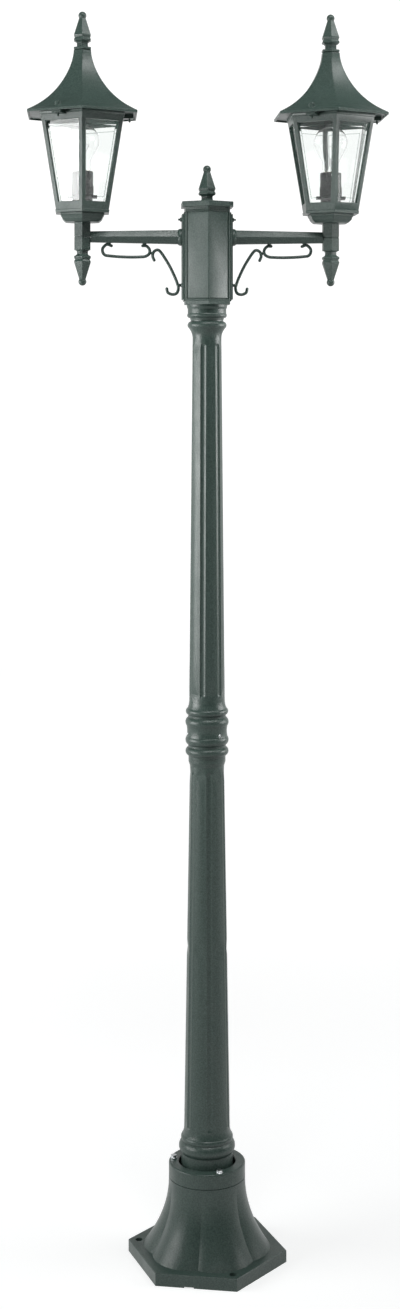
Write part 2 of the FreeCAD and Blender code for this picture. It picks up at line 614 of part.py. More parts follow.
def box_base():
    """Moulding that turns the round post into the hexagonal box, with a spigot in the shaft."""
    body = new_body("box_base")
    trim_foot = f"({BOX_FOOT} - box_trim_height)"
    turn_feature(body, [
        ("box_base_bore_radius", f"{UPPER_TOP} - box_base_spigot_depth"),
        ("box_base_spigot_radius", f"{UPPER_TOP} - box_base_spigot_depth"),
        ("box_base_spigot_radius", UPPER_TOP), ("neck_groove_radius", UPPER_TOP),
        ("neck_groove_radius + ring_seam", f"{UPPER_TOP} + box_collar_lip"),
        ("box_collar_waist", f"{UPPER_TOP} + box_collar_lip * 3", "box_collar_radius - ring_seam / 2",
         f"{UPPER_TOP} + box_collar_lip * 2"),
        ("box_collar_waist", f"{trim_foot} - box_collar_lip * 2"),
        ("box_collar_radius", f"{trim_foot} - box_collar_lip"), ("box_collar_radius", trim_foot),
        ("box_base_bore_radius", trim_foot)])
    trim = draw(new_sketch(body, away=trim_foot),
                hexagon("box_flats / sqrt(3)", SHARES["hexagon_turn_angle"]))
    pad(body, trim, "box_trim_height")
    wireway = draw_circle(new_sketch(body, away=trim_foot), "0", "0", "box_base_bore_radius")
    body.Tip = pocket(body, wireway, "box_trim_height + overrun", up=True)


def box_body():
    """Hexagonal box with a panel line round its front and back, and holes for both arms."""
    shell = cut(hex_prism("box_flats", "box_height", BOX_FOOT),
                hex_prism("box_flats - 2 * box_wall", "box_height + 2 * overrun",
                          f"{BOX_FOOT} - overrun"))
    panel_height = "(box_height - 2 * panel_inset)"
    frame = cut(block("2 * panel_half_width", "4 * box_flats", panel_height,
                      up=f"{BOX_FOOT} + panel_inset"),
                block("2 * (panel_half_width - panel_line_width)", "5 * box_flats",
                      f"{panel_height} - 2 * panel_line_width",
                      up=f"{BOX_FOOT} + panel_inset + panel_line_width"))
    skin = cut(hex_prism("box_flats + overrun", "box_height", BOX_FOOT),
               hex_prism("box_flats - 2 * panel_line_depth", "box_height + 2 * overrun",
                         f"{BOX_FOOT} - overrun"))
    arm_hole = rod("arm_spigot_radius + arm_spigot_clearance", "2 * box_flats", "-box_flats",
                   up=ARM_AXIS, axis=Y_AXIS, angle=90)
    screw_hole = rod("plate_screw_radius", "2 * box_flats", "-box_flats",
                     up=f"{BOX_TOP} - plate_screw_drop", axis=Y_AXIS, angle=90)
    node(cut(shell, common(frame, skin), arm_hole, screw_hole), "box_body")


def box_bridge():
    """Cross bar that spans the box from corner to corner and takes the finial's stud."""
    bar = block("bridge_width", "box_flats", "bridge_thickness", up=f"{BRIDGE_TOP} - bridge_thickness")
    inside = hex_prism("box_flats - 2 * box_wall", "box_height", BOX_FOOT)
    tapped = rod("stud_radius + stud_clearance", "4 * bridge_thickness",
                 up=f"{BRIDGE_TOP} - 2 * bridge_thickness")
    node(cut(common(bar, inside), tapped), "box_bridge")


def terminal_block():
    """Insulated three-way terminal on the bridge, with wire holes and screw holes."""
    middle = "(terminal_start + terminal_length / 2)"
    body = block("terminal_width", "terminal_length", "terminal_height", "0", middle, BRIDGE_TOP)
    holes = []
    for way in (-1, 0, 1):
        deep = f"{middle} + {way} * terminal_length / 3"
        holes.append(rod("terminal_hole_radius", "2 * terminal_width", "-terminal_width", deep,
                         f"{BRIDGE_TOP} + terminal_height / 3", Y_AXIS, 90))
        holes.append(rod("terminal_hole_radius", "terminal_height", "0", deep,
                         f"{BRIDGE_TOP} + terminal_height / 2"))
    node(cut(body, *holes), "terminal_block")


def box_cap():
    """Hexagonal lid with a low pitched top and a plug that seats in the box."""
    rim_foot = f"({BOX_TOP} + cap_neck_height)"
    rim_top = f"({rim_foot} + cap_rim_height)"
    lid = fuse(hex_prism("box_flats - 2 * box_wall - 2 * cap_clearance",
                         "cap_plug_depth + cap_neck_height", f"{BOX_TOP} - cap_plug_depth"),
               hex_prism("box_flats", "cap_neck_height", BOX_TOP),
               hex_prism("cap_flats", "cap_rim_height", rim_foot),
               hex_loft([(rim_top, "cap_flats"), (CAP_TOP, "cap_top_flats")]))
    stud_hole = rod("stud_radius", "box_height", up=f"{CAP_TOP} - box_height / 2")
    node(cut(lid, stud_hole), "box_cap")


FINIAL_LEVEL_SHARES = [
    (0, "finial_foot_flats"), (0.035, "finial_neck_flats"), (0.12, "finial_neck_flats"),
    (0.15, "finial_foot_flats"), (0.175, "finial_disc_flats"), (0.22, "finial_disc_flats"),
    (0.245, "finial_groove_flats"), (0.276, "finial_groove_flats"), (0.3, "finial_cone_edge_flats"),
    (0.335, "finial_cone_flats"), (0.365, "finial_cone_edge_flats"), (0.8, "finial_tip_flats"),
    (0.815, "finial_throat_flats"), (0.87, "finial_throat_flats")]
PLINTH_LEVEL_SHARES = [(0, "finial_foot_flats"), (0.3, "finial_plinth_flats"),
                       (0.85, "finial_plinth_flats"), (1, "finial_neck_flats")]


def finial_solid(foot="0", plinth=False, bore=None):
    """Hexagonal spike with a ball, standing on a level; a plinth disc goes under it on a roof."""
    start = f"({foot} + finial_plinth_height)" if plinth else foot
    stack = [(f"{start} + finial_height * {share}", width) for share, width in FINIAL_LEVEL_SHARES]
    if plinth:
        stack[:1] = [(f"{foot} + finial_plinth_height * {share}", width)
                     for share, width in PLINTH_LEVEL_SHARES]
    ball = bind(doc.addObject("Part::Sphere", "Ball"), Radius="finial_ball_radius")
    place(ball, up=f"{start} + finial_height - finial_ball_radius")
    spike = fuse(hex_loft(stack), ball)
    if bore:
        spike = cut(spike, rod(bore[0], bore[1], up=foot))
    return spike


def box_finial():
    """Spike on the box lid, tapped for its stud."""
    node(finial_solid(CAP_TOP, bore=("stud_radius", "stud_engagement")), "box_finial")


def box_finial_stud():
    """Threaded stud from the spike through the lid to the bridge."""
    length = f"{CAP_TOP} - {BRIDGE_TOP} + stud_engagement + 2 * bridge_thickness"
    stud = rod("stud_radius", length, up=f"{BRIDGE_TOP} - 2 * bridge_thickness")
    node(stud, "box_finial_stud")


# Arms

def arm_plate(side):
    """Stepped plate on the side of the box that carries the arm."""
    height = "(box_height - plate_top_margin)"
    step = "plate_step_inset"
    plate = fuse(
        block("plate_thickness", "plate_width", height, "box_flats / 2 + plate_thickness / 2", "0",
              BOX_FOOT),
        block("plate_step_thickness", f"plate_width - 2 * {step}", f"{height} - 2 * {step}",
              "box_flats / 2 + plate_thickness + plate_step_thickness / 2", "0", f"{BOX_FOOT} + {step}"))
    arm_hole = rod("arm_spigot_radius + arm_spigot_clearance", "box_flats", "0", "0", ARM_AXIS, Y_AXIS, 90)
    screw_hole = rod("plate_screw_radius", "box_flats", "0", "0", f"{BOX_TOP} - plate_screw_drop",
                     Y_AXIS, 90)
    node(post_side(cut(plate, arm_hole, screw_hole), side), f"{side}_arm_plate")


def plate_screw(side):
    """Domed screw with a projecting point near the top of the plate."""
    body = new_body(f"{side}_plate_screw")
    place(body, up=f"{BOX_TOP} - plate_screw_drop", angle=0.0 if SIDES[side] > 0 else 180.0)
    head = f"({PLATE_FACE} + plate_screw_head_height)"
    tip = f"({head} + plate_screw_point)"
    turn_feature(body, [
        ("box_flats / 2 - 2 * box_wall", "0"), (tip, "0"),
        (tip, "plate_screw_radius / 2"), (f"{tip} - plate_screw_radius / 2", "plate_screw_radius"),
        (head, "plate_screw_radius"), (head, "plate_screw_head_radius - plate_screw_head_round"),
        (f"{head} - plate_screw_head_height / 3", "plate_screw_head_radius"),
        (PLATE_FACE, "plate_screw_head_radius"), (PLATE_FACE, "plate_screw_radius"),
        ("box_flats / 2 - 2 * box_wall", "plate_screw_radius")], axis="H_Axis")


def arm(side):
    """Tapered hexagonal tube with a round root boss and a threaded spigot in the box."""
    body = new_body(f"{side}_arm")
    place(body, up=ARM_AXIS, angle=0.0 if SIDES[side] > 0 else 180.0)
    boss_end = f"({PLATE_FACE} + arm_boss_length)"
    spigot_start = "(box_flats / 2 - box_wall - arm_nut_thickness - arm_thread_spare)"
    turn_feature(body, [
        (spigot_start, "0"), (f"{boss_end} + arm_boss_length", "0"),
        (boss_end, "arm_boss_end_radius"),
        (f"{PLATE_FACE} + arm_boss_edge", "arm_boss_radius",
         f"{boss_end} - arm_boss_crown", "arm_boss_crown_radius"),
        (PLATE_FACE, "arm_boss_radius"), (PLATE_FACE, "arm_spigot_radius"),
        (spigot_start, "arm_spigot_radius")], axis="H_Axis")
    root = draw(new_sketch(body, "YZ_Plane", f"{PLATE_FACE} + arm_boss_length / 2"),
                hexagon("arm_root_flats / sqrt(3)"))
    tip = draw(new_sketch(body, "YZ_Plane", "lantern_reach - column_flats / 2"),
               hexagon("arm_tip_flats / sqrt(3)"))
    loft_feature(body, [root, tip], True)
    bore = draw_circle(new_sketch(body, "YZ_Plane"), "0", "0", "arm_bore_radius")
    body.Tip = pocket(body, bore)


def arm_nut(side):
    """Nut on the arm's spigot inside the box."""
    body = new_body(f"{side}_arm_nut")
    place(body, up=ARM_AXIS, angle=0.0 if SIDES[side] > 0 else 180.0)
    face = new_sketch(body, "YZ_Plane", "box_flats / 2 - box_wall")
    pad(body, draw(face, hexagon("arm_nut_flats / sqrt(3)")), "arm_nut_thickness", down=True)
    thread = draw_circle(new_sketch(body, "YZ_Plane"), "0", "0", "arm_spigot_radius")
    body.Tip = pocket(body, thread)


# Scrolls. A place is (share of the way from plate to lantern axis, share of the depth under the
# arm's axis)

C_SCROLL_SHARES = [(0.708, 0.153), (0.756, 0.118), (0.806, 0.205), (0.786, 0.318), (0.65, 0.342),
                   (0.5, 0.35), (0.37, 0.341), (0.324, 0.294), (0.322, 0.21), (0.356, 0.148),
                   (0.395, 0.151)]
S_SCROLL_SHARES = [(0.278, 0.4), (0.296, 0.335), (0.287, 0.25), (0.238, 0.208), (0.199, 0.285),
                   (0.122, 0.495), (0.058, 0.735), (0.03, 0.882), (0.047, 0.98), (0.099, 1),
                   (0.145, 0.962), (0.151, 0.895)]


def rounded_path(corners):
    """Straight runs through the places, joined by tangent arcs as large as the runs allow."""
    edges = []
    start = corners[0]
    for before, corner, after in zip(corners, corners[1:], corners[2:]):
        back, ahead = before - corner, after - corner
        reach = SHARES["bend_reach_share"] * min(back.Length, ahead.Length)
        back.normalize()
        ahead.normalize()
        half_turn = (math.pi - back.getAngle(ahead)) / 2
        radius = reach / math.tan(half_turn)
        bisector = (back + ahead).normalize()
        first, last = corner + back * reach, corner + ahead * reach
        middle = corner + bisector * (radius / math.cos(half_turn) - radius)
        edges.append(Part.LineSegment(start, first).toShape())
        edges.append(Part.Arc(first, middle, last).toShape())
        start = last
    edges.append(Part.LineSegment(start, corners[-1]).toShape())
    return Part.Wire(edges)


def bent_rod(corners):
    """Round rod along a path, with rounded ends."""
    path = rounded_path(corners)
    heading = corners[1] - corners[0]
    radius = number("rod_radius")
    section = Part.Wire([Part.Circle(corners[0], heading, radius).toShape()])
    solid = path.makePipeShell([section], True, True)
    for end in (corners[0], corners[-1]):
        solid = solid.fuse(Part.makeSphere(radius, end))
    return solid


def scroll_places(shares):
    """Turn shares into places under the right-hand arm, with the top share just under its flats."""
    face, top_share = number(PLATE_FACE), SHARES["scroll_top_share"]
    level = number(f"{ARM_AXIS} - arm_root_flats / 2 - scroll_headroom")
    reach = number("lantern_reach") - face
    depth = (level - number(f"{BOX_FOOT} + scroll_foot_clearance")) / (1 - top_share)
    return [FreeCAD.Vector(face + reach * across, 0, level - depth * (drop - top_share))
            for across, drop in shares]


def under_arm(across):
    """Level of the arm's underside at a distance from the post."""
    root, tip = number(f"{PLATE_FACE} + arm_boss_length / 2"), number("lantern_reach - column_flats / 2")
    share = (across - root) / (tip - root)
    flats = number("arm_root_flats") + share * (number("arm_tip_flats") - number("arm_root_flats"))
    return number(ARM_AXIS) - flats / 2 - number("scroll_gap")


def scroll(side, name, shares, lugs):
    """Scroll of round rod with the lugs that carry it, turned to its own side."""
    places = scroll_places(shares)
    solid = bent_rod(places)
    for start, end in lugs(places):
        reach = end - start
        solid = solid.fuse(Part.makeCylinder(number("rod_radius"), reach.Length, start, reach))
    piece = doc.addObject("Part::Feature", "Scroll")
    piece.Shape = solid.removeSplitter()
    post_side(piece, side)
    node(piece, f"{side}_{name}")


def c_scroll(side):
    """C-shaped scroll that hangs from the arm on two lugs."""
    def lugs(places):
        tops = (places[1] + places[0]) * 0.5, (places[-2] + places[-1]) * 0.5
        return [(top, FreeCAD.Vector(top.x, 0, under_arm(top.x))) for top in tops]
    scroll(side, "c_scroll", C_SCROLL_SHARES, lugs)


def s_scroll(side):
    """S-shaped scroll from the C-scroll down to a lug on the plate."""
    def lugs(places):
        side_place = (places[7] * 2 + places[6]) * (1 / 3)
        return [(side_place, FreeCAD.Vector(number(PLATE_FACE), 0, side_place.z))]
    scroll(side, "s_scroll", S_SCROLL_SHARES, lugs)


# Columns and pendants

def column(side):
    """Hexagonal column at the arm's end, bored for the tie tube and the wires."""
    line_ring = cut(hex_prism("column_flats + overrun", "column_line_height",
                              f"{ARM_AXIS} - column_line_height / 2"),
                    hex_prism("column_flats - 2 * column_line_depth", "3 * column_line_height",
                              f"{ARM_AXIS} - 1.5 * column_line_height"))
    bore = rod("column_bore_radius", "column_drop + column_rise", up=COLUMN_FOOT)
    wire_hole = rod("arm_bore_radius", "column_flats", "-column_flats", "0", ARM_AXIS, Y_AXIS, 90)
    body = cut(hex_prism("column_flats", "column_drop + column_rise", COLUMN_FOOT),
               line_ring, bore, wire_hole)
    node(lantern_side(body, side, turned=True), f"{side}_column")


def pendant_finial(side):
    """Upside-down spike that screws on to the tie tube under the column."""
    spike = finial_solid(bore=("tie_tube_radius", "tie_tube_engagement"))
    node(spike, f"{side}_pendant_finial")
    place(spike, across=f"lantern_reach * {SIDES[side]}", up=COLUMN_FOOT, axis=X_AXIS, angle=180)


def tie_tube(side):
    """Threaded tube that draws the pendant, the column and the lantern base together."""
    body = new_body(f"{side}_tie_tube")
    place(body, across=f"lantern_reach * {SIDES[side]}")
    foot = f"({COLUMN_FOOT} - tie_tube_engagement)"
    top = f"({CAGE_FOOT} + tie_tube_stand)"
    turn_feature(body, [("tie_tube_bore_radius", foot), ("tie_tube_radius", foot),
                        ("tie_tube_radius", top), ("tie_tube_bore_radius", top)])
    wire_hole = new_sketch(body, "YZ_Plane")
    draw_circle(wire_hole, "0", ARM_AXIS, "tie_tube_bore_radius")
    body.Tip = pocket(body, wire_hole, "column_flats", up=SIDES[side] < 0)


def tie_nut(side):
    """Nut on the tie tube, down in the recess of the lantern base."""
    foot = f"({CAGE_FOOT} - base_recess_depth)"
    nut = cut(hex_prism("tie_nut_flats", "tie_nut_thickness", foot),
              rod("tie_tube_radius", "2 * tie_nut_thickness", up=foot))
    node(lantern_side(nut, side), f"{side}_tie_nut")


# Lanterns, modelled on their own axis

CAGE_SLOPE = "((cage_top_flats - cage_bottom_flats) / cage_height)"


def cage_flats(above):
    """Outer width of the cage at a height above its foot."""
    return f"(cage_bottom_flats + {CAGE_SLOPE} * ({above}))"


BOWL_WIDTH_SHARES = [0, 0.4, 0.66, 0.74, 1, 1]


def lantern_base(side):
    """Moulded hexagonal bowl under the lantern, recessed for the tie nut."""
    bowl = hex_loft([(f"{COLUMN_TOP} + lantern_base_height * {level} / 5",
                      f"bowl_flats + (lantern_base_flats - bowl_flats) * {share}")
                     for level, share in enumerate(BOWL_WIDTH_SHARES)])
    recess = hex_prism("base_recess_flats", "base_recess_depth + overrun",
                       f"{CAGE_FOOT} - base_recess_depth")
    bore = rod("tie_tube_radius", "3 * lantern_base_height", up=f"{COLUMN_TOP} - lantern_base_height")
    node(lantern_side(cut(bowl, recess, bore), side), f"{side}_lantern_base")


def window_wedges(rise="0", widen="0"):
    """Three tapered bars through opposite faces: the six windows, or larger by two margins."""
    bars = []
    sill, head = f"(window_sill - {rise})", f"(cage_height - window_head + {rise})"
    for turn in (30, 90, 150):
        bar = doc.addObject("Part::Wedge", "Window")
        low = f"({cage_flats(sill)} / sqrt(3) - post_width) / 2 + {widen}"
        high = f"({cage_flats(head)} / sqrt(3) - post_width) / 2 + {widen}"
        bind(bar, Ymin=sill, Ymax=head, Xmin=f"-({low})", Xmax=low, X2min=f"-({high})", X2max=high,
             Zmin="-cage_top_flats", Zmax="cage_top_flats", Z2min="-cage_top_flats",
             Z2max="cage_top_flats")
        upright = FreeCAD.Rotation(Z_AXIS, 60.0 + turn).multiply(FreeCAD.Rotation(X_AXIS, 90.0))
        bar.Placement = FreeCAD.Placement(FreeCAD.Vector(), upright)
        bar.setExpression("Placement.Base.z", expr(CAGE_FOOT))
        bars.append(bar)
    return fuse(*bars)


def cage_shell_levels(inset, low="0", high="cage_height"):
    """Levels of a hexagonal taper inside the cage's outer faces."""
    return [(f"{CAGE_FOOT} + {low}", f"{cage_flats(low)} - 2 * ({inset})"),
            (f"{CAGE_FOOT} + {high}", f"{cage_flats(high)} - 2 * ({inset})")]


def cage(side):
    """Tapered hexagonal frame with six windows, stepped rails and three lugs for the roof screws."""
    solid = [hex_loft(cage_shell_levels("0"))]
    solid.append(hex_loft(cage_shell_levels("-rail_step_out", "0", "rail_step_height")))
    solid.append(hex_loft(cage_shell_levels("-rail_step_out", "cage_height - rail_step_height",
                                            "cage_height")))
    for turn in range(3):
        reach = "(lug_circle_radius + lug_reach)"
        lug = bind(doc.addObject("Part::Box", "Lug"), Length=reach, Width="lug_width",
                   Height="lug_height")
        angle = turn * SHARES["roof_screw_angle"]
        lug.Placement = FreeCAD.Placement(FreeCAD.Vector(), FreeCAD.Rotation(Z_AXIS, angle))
        lug.setExpression("Placement.Base.x", expr(f"lug_width / 2 * sin({angle})"))
        lug.setExpression("Placement.Base.y", expr(f"-lug_width / 2 * cos({angle})"))
        lug.setExpression("Placement.Base.z", expr(f"{CAGE_TOP} - lug_height"))
        solid.append(lug)
    inside = hex_loft(cage_shell_levels("cage_wall", "cage_floor"))
    floor = hex_prism("cage_floor_opening_flats", "4 * cage_floor", f"{CAGE_FOOT} - 2 * cage_floor")
    holes = [rod("roof_screw_radius + roof_screw_clearance", "4 * lug_height",
                 f"lug_circle_radius * cos({turn * SHARES['roof_screw_angle']})",
                 f"lug_circle_radius * sin({turn * SHARES['roof_screw_angle']})",
                 f"{CAGE_TOP} - 2 * lug_height") for turn in range(3)]
    frame = cut(fuse(*solid), inside, floor, window_wedges(), *holes)
    node(lantern_side(frame, side), f"{side}_cage")


def panes(side):
    """Six tapered glass panes against the inner faces of the cage."""
    low, high = "(window_sill - pane_margin)", "(cage_height - window_head + pane_margin)"
    outer = hex_loft(cage_shell_levels("cage_wall + pane_clearance", low, high))
    inner = hex_loft(cage_shell_levels("cage_wall + pane_clearance + pane_thickness",
                                       f"({low} - overrun)", f"({high} + overrun)"))
    glass = common(cut(outer, inner), window_wedges("pane_margin", "pane_side_margin"))
    node(lantern_side(glass, side), f"{side}_panes")


def holder_bracket(side):
    """Spun pedestal on the cage's floor, with a cross strip that carries the lampholder."""
    foot = CAGE_FLOOR
    strip_foot = f"({foot} + pedestal_height)"
    tube = cut(rod("pedestal_radius", "pedestal_height", up=foot),
               rod("pedestal_radius - pedestal_wall", "pedestal_height + 2 * overrun",
                   up=f"{foot} - overrun"))
    flange = cut(rod("pedestal_foot_radius", "pedestal_wall", up=foot),
                 rod("pedestal_radius - pedestal_wall", "4 * pedestal_wall",
                     up=f"{foot} - 2 * pedestal_wall"))
    strip = cut(fuse(block("bracket_length", "bracket_width", "bracket_thickness", up=strip_foot),
                     rod("pedestal_radius", "bracket_thickness", up=strip_foot)),
                rod("holder_wire_radius", "4 * bracket_thickness",
                    up=f"{strip_foot} - 2 * bracket_thickness"))
    node(lantern_side(fuse(tube, flange, strip), side), f"{side}_holder_bracket")


def lampholder(side):
    """Insulated lampholder: a stepped cylinder with a socket for the threaded shell."""
    body = new_body(f"{side}_lampholder")
    place(body, across=f"lantern_reach * {SIDES[side]}")
    floor = f"({HOLDER_FOOT} + holder_floor)"
    step = f"({HOLDER_FOOT} + holder_height * holder_step_share)"
    upper = "(holder_radius - holder_rim_step)"
    turn_feature(body, [
        ("holder_wire_radius", HOLDER_FOOT), ("holder_radius", HOLDER_FOOT), ("holder_radius", step),
        (upper, f"{step} + holder_rim_step"), (upper, f"{HOLDER_TOP} - 2 * holder_rim_step"),
        (f"{upper} - 2 * holder_rim_step", HOLDER_TOP, f"{upper} - 2 * holder_rim_step * (1 - sin(45))",
         f"{HOLDER_TOP} - 2 * holder_rim_step * (1 - sin(45))"),
        ("shell_radius", HOLDER_TOP), ("shell_radius", floor), ("holder_wire_radius", floor)])


def holder_shell(side):
    """Thin metal shell in the lampholder that the lamp's cap screws into."""
    body = new_body(f"{side}_holder_shell")
    place(body, across=f"lantern_reach * {SIDES[side]}")
    foot, top = f"({HOLDER_FOOT} + holder_floor)", f"({HOLDER_TOP} - shell_inset)"
    turn_feature(body, [("shell_radius - shell_wall", foot), ("shell_radius", foot),
                        ("shell_radius", top), ("shell_radius - shell_wall", top)])


def bulb_cap(side):
    """Screw cap of the lamp with its centre contact."""
    body = new_body(f"{side}_bulb_cap")
    place(body, across=f"lantern_reach * {SIDES[side]}")
    contact = f"({HOLDER_FOOT} + holder_floor + lamp_contact_gap)"
    shoulder = f"({contact} + lamp_contact_height)"
    turn_feature(body, [
        ("0", contact), ("lamp_contact_radius", contact), ("lamp_contact_radius", shoulder),
        ("lamp_cap_radius - lamp_cap_taper", shoulder),
        ("lamp_cap_radius", f"{shoulder} + lamp_cap_taper"), ("lamp_cap_radius", LAMP_CAP_TOP),
        ("0", LAMP_CAP_TOP)])


def bulb_glass(side):
    """Clear glass envelope: a round bulb that runs down a cone into a short neck."""
    body = new_body(f"{side}_bulb_glass")
    place(body, across=f"lantern_reach * {SIDES[side]}")
    centre = f"({LAMP_CAP_TOP} + lamp_glass_height - lamp_glass_radius)"
    cosine, sine = "cos(bulb_cone_angle)", "sin(bulb_cone_angle)"
    neck_drop = f"((lamp_glass_radius * {cosine} - lamp_neck_radius) / tan(bulb_cone_angle))"

    def wall(inset):
        ball = f"(lamp_glass_radius - {inset})"
        neck = f"(lamp_neck_radius - {inset})"
        elbow = f"({centre} - lamp_glass_radius * {sine} - {neck_drop})"
        return ball, neck, elbow

    ball, neck, elbow = wall("0")
    inner_ball, inner_neck, _ = wall("glass_wall")
    turn_feature(body, [
        (inner_neck, LAMP_CAP_TOP), (neck, LAMP_CAP_TOP), (neck, elbow),
        (f"{ball} * {cosine}", f"{centre} - {ball} * {sine}"),
        ("0", f"{centre} + {ball}", f"{ball} * {cosine}", f"{centre} + {ball} * {sine}"),
        ("0", f"{centre} + {inner_ball}"),
        (f"{inner_ball} * {cosine}", f"{centre} - {inner_ball} * {sine}",
         f"{inner_ball} * {cosine}", f"{centre} + {inner_ball} * {sine}"),
        (inner_neck, elbow)])


def bulb_mount(side):
    """Glass stem with two lead wires and a straight filament."""
    stem = bind(doc.addObject("Part::Cone", "Stem"), Radius1="lamp_stem_radius",
                Radius2="lamp_stem_top_radius", Height="lamp_stem_height")
    place(stem, up=LAMP_CAP_TOP)
    top = f"({LAMP_CAP_TOP} + lamp_stem_height)"
    lean = math.degrees(math.atan2(number("filament_span") / 2, number("lead_height")))
    leads = [rod("lead_radius", "sqrt((filament_span / 2)^2 + lead_height^2)", up=f"{top} - lead_radius",
                 axis=Y_AXIS, angle=way * lean) for way in (-1, 1)]
    filament = rod("lead_radius", "filament_span", "-filament_span / 2", "0",
                   f"{top} + lead_height - lead_radius", Y_AXIS, 90)
    node(lantern_side(fuse(stem, *leads, filament), side), f"{side}_bulb_mount")


# Roofs

# A level is (share of the height, share of the width between crown and eave)
ROOF_LEVEL_SHARES = [(0, 1), (0.05, 0.877), (0.12, 0.73), (0.22, 0.561), (0.34, 0.403), (0.48, 0.261),
                     (0.64, 0.138), (0.8, 0.051), (1, 0)]


def roof_flats(share):
    """Width of the roof at a share of what lies between its crown and its eave."""
    return f"(roof_top_flats + (eave_flats - roof_top_flats) * {share})"


def roof(side):
    """Concave hexagonal roof: a hollow shell with a rim, an underside plate and screw pads."""
    height = "(roof_height - eave_height)"
    outer = hex_loft([(f"{EAVE_TOP} + {height} * {rise}", roof_flats(width))
                      for rise, width in ROOF_LEVEL_SHARES], smooth=True)
    rim = hex_prism("eave_flats", "eave_height + eave_drop", f"{CAGE_TOP} - eave_drop")
    pads = [rod("roof_pad_radius", "roof_pad_rise - eave_height",
                f"lug_circle_radius * cos({turn * SHARES['roof_screw_angle']})",
                f"lug_circle_radius * sin({turn * SHARES['roof_screw_angle']})",
                EAVE_TOP) for turn in range(3)]
    plate_top = f"({CAGE_TOP} + roof_plate_thickness)"
    hollow = [(f"{EAVE_TOP} + {height} * {rise}", f"{roof_flats(width)} - 2 * roof_wall")
              for rise, width in ROOF_LEVEL_SHARES[1:-1]]
    hollow.insert(0, (plate_top, "eave_flats - 3 * roof_wall"))
    rim_hollow = hex_prism("eave_flats - 2 * rim_wall", "eave_drop + overrun",
                           f"{CAGE_TOP} - eave_drop - overrun")
    opening = hex_prism("roof_opening_flats", "2 * roof_plate_thickness + overrun",
                        f"{CAGE_TOP} - overrun")
    screw_holes = [rod("roof_screw_radius", "3 * roof_pad_rise",
                       f"lug_circle_radius * cos({turn * SHARES['roof_screw_angle']})",
                       f"lug_circle_radius * sin({turn * SHARES['roof_screw_angle']})",
                       f"{CAGE_TOP} - roof_pad_rise") for turn in range(3)]
    spigot_hole = rod("finial_spigot_radius", "roof_crown", up=f"{ROOF_TOP} - roof_crown")
    shell = cut(fuse(outer, rim, *pads), hex_loft(hollow), rim_hollow, opening, spigot_hole,
                *screw_holes)
    node(lantern_side(shell, side), f"{side}_roof")


def roof_finial(side):
    """Spike with a plinth disc and a spigot in the roof's crown."""
    spigot = rod("finial_spigot_radius", "roof_crown", up=f"{ROOF_TOP} - roof_crown")
    spike = fuse(finial_solid(ROOF_TOP, plinth=True), spigot)
    node(lantern_side(spike, side), f"{side}_roof_finial")


def roof_screws(side):
    """Three domed screws through the roof into the cage's lugs."""
    body = new_body(f"{side}_roof_screws")
    place(body, across=f"lantern_reach * {SIDES[side]}")
    head_foot = f"({CAGE_TOP} + roof_pad_rise)"
    foot = f"({head_foot} - roof_screw_length)"
    shank = pad(body, draw_circle(new_sketch(body, away=head_foot), "lug_circle_radius", "0",
                                  "roof_screw_radius"), f"{head_foot} - {foot}", down=True)
    head = pad(body, draw_circle(new_sketch(body, away=head_foot), "lug_circle_radius", "0",
                                 "roof_screw_head_radius"), "roof_screw_head_height")
    around(body, [shank, head], 3)


# Assembly

def build():
    """Make every sub-part."""
    for piece in (base_casting, clamp_ring, clamp_bolts, lower_shaft, joint_sleeve, joint_spigot,
                  joint_screws, upper_shaft, box_base, box_body, box_bridge, terminal_block, box_cap,
                  box_finial, box_finial_stud):
        piece()
    for side in SIDES:
        for piece in (arm_plate, plate_screw, arm, arm_nut, c_scroll, s_scroll, column,
                      pendant_finial, tie_tube, tie_nut, lantern_base, cage, panes, holder_bracket,
                      lampholder, holder_shell, bulb_cap, bulb_glass, bulb_mount, roof,
                      roof_finial, roof_screws):
            piece(side)


def check():
    """Stop if any object failed or any sub-part is empty or broken."""
    doc.recompute()
    failed = [item.Label for item in doc.Objects if {"Invalid", "Error"} & set(item.State)]
    broken = [item.Label for item in nodes if not (item.Shape.Solids and item.Shape.isValid())]
    if failed or broken:
        raise RuntimeError(f"failed: {failed}, broken: {broken}")


def export():
    """Write one STEP file per sub-part."""
    os.makedirs("parts", exist_ok=True)
    for item in nodes:
        item.Shape.exportStep(f"parts/{item.Label}.step")
    print(f"{len(nodes)} sub-parts")


build()
check()
export()
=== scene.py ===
"""Looks of a garden lamp post with two lanterns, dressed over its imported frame.

The sizes of pieces are in millimetres and mm() turns them into Blender's metres. The sizes of
textures, panels and the camera are in metres. +Z is up from the ground, and the front faces -Y.
"""
import json
import logging
import math
from abc import ABC, abstractmethod
from collections.abc import Callable, Iterator, Sequence
from contextlib import contextmanager
from dataclasses import dataclass
from enum import Enum
from typing import Any

import bmesh
import bpy
from mathutils import Matrix, Vector

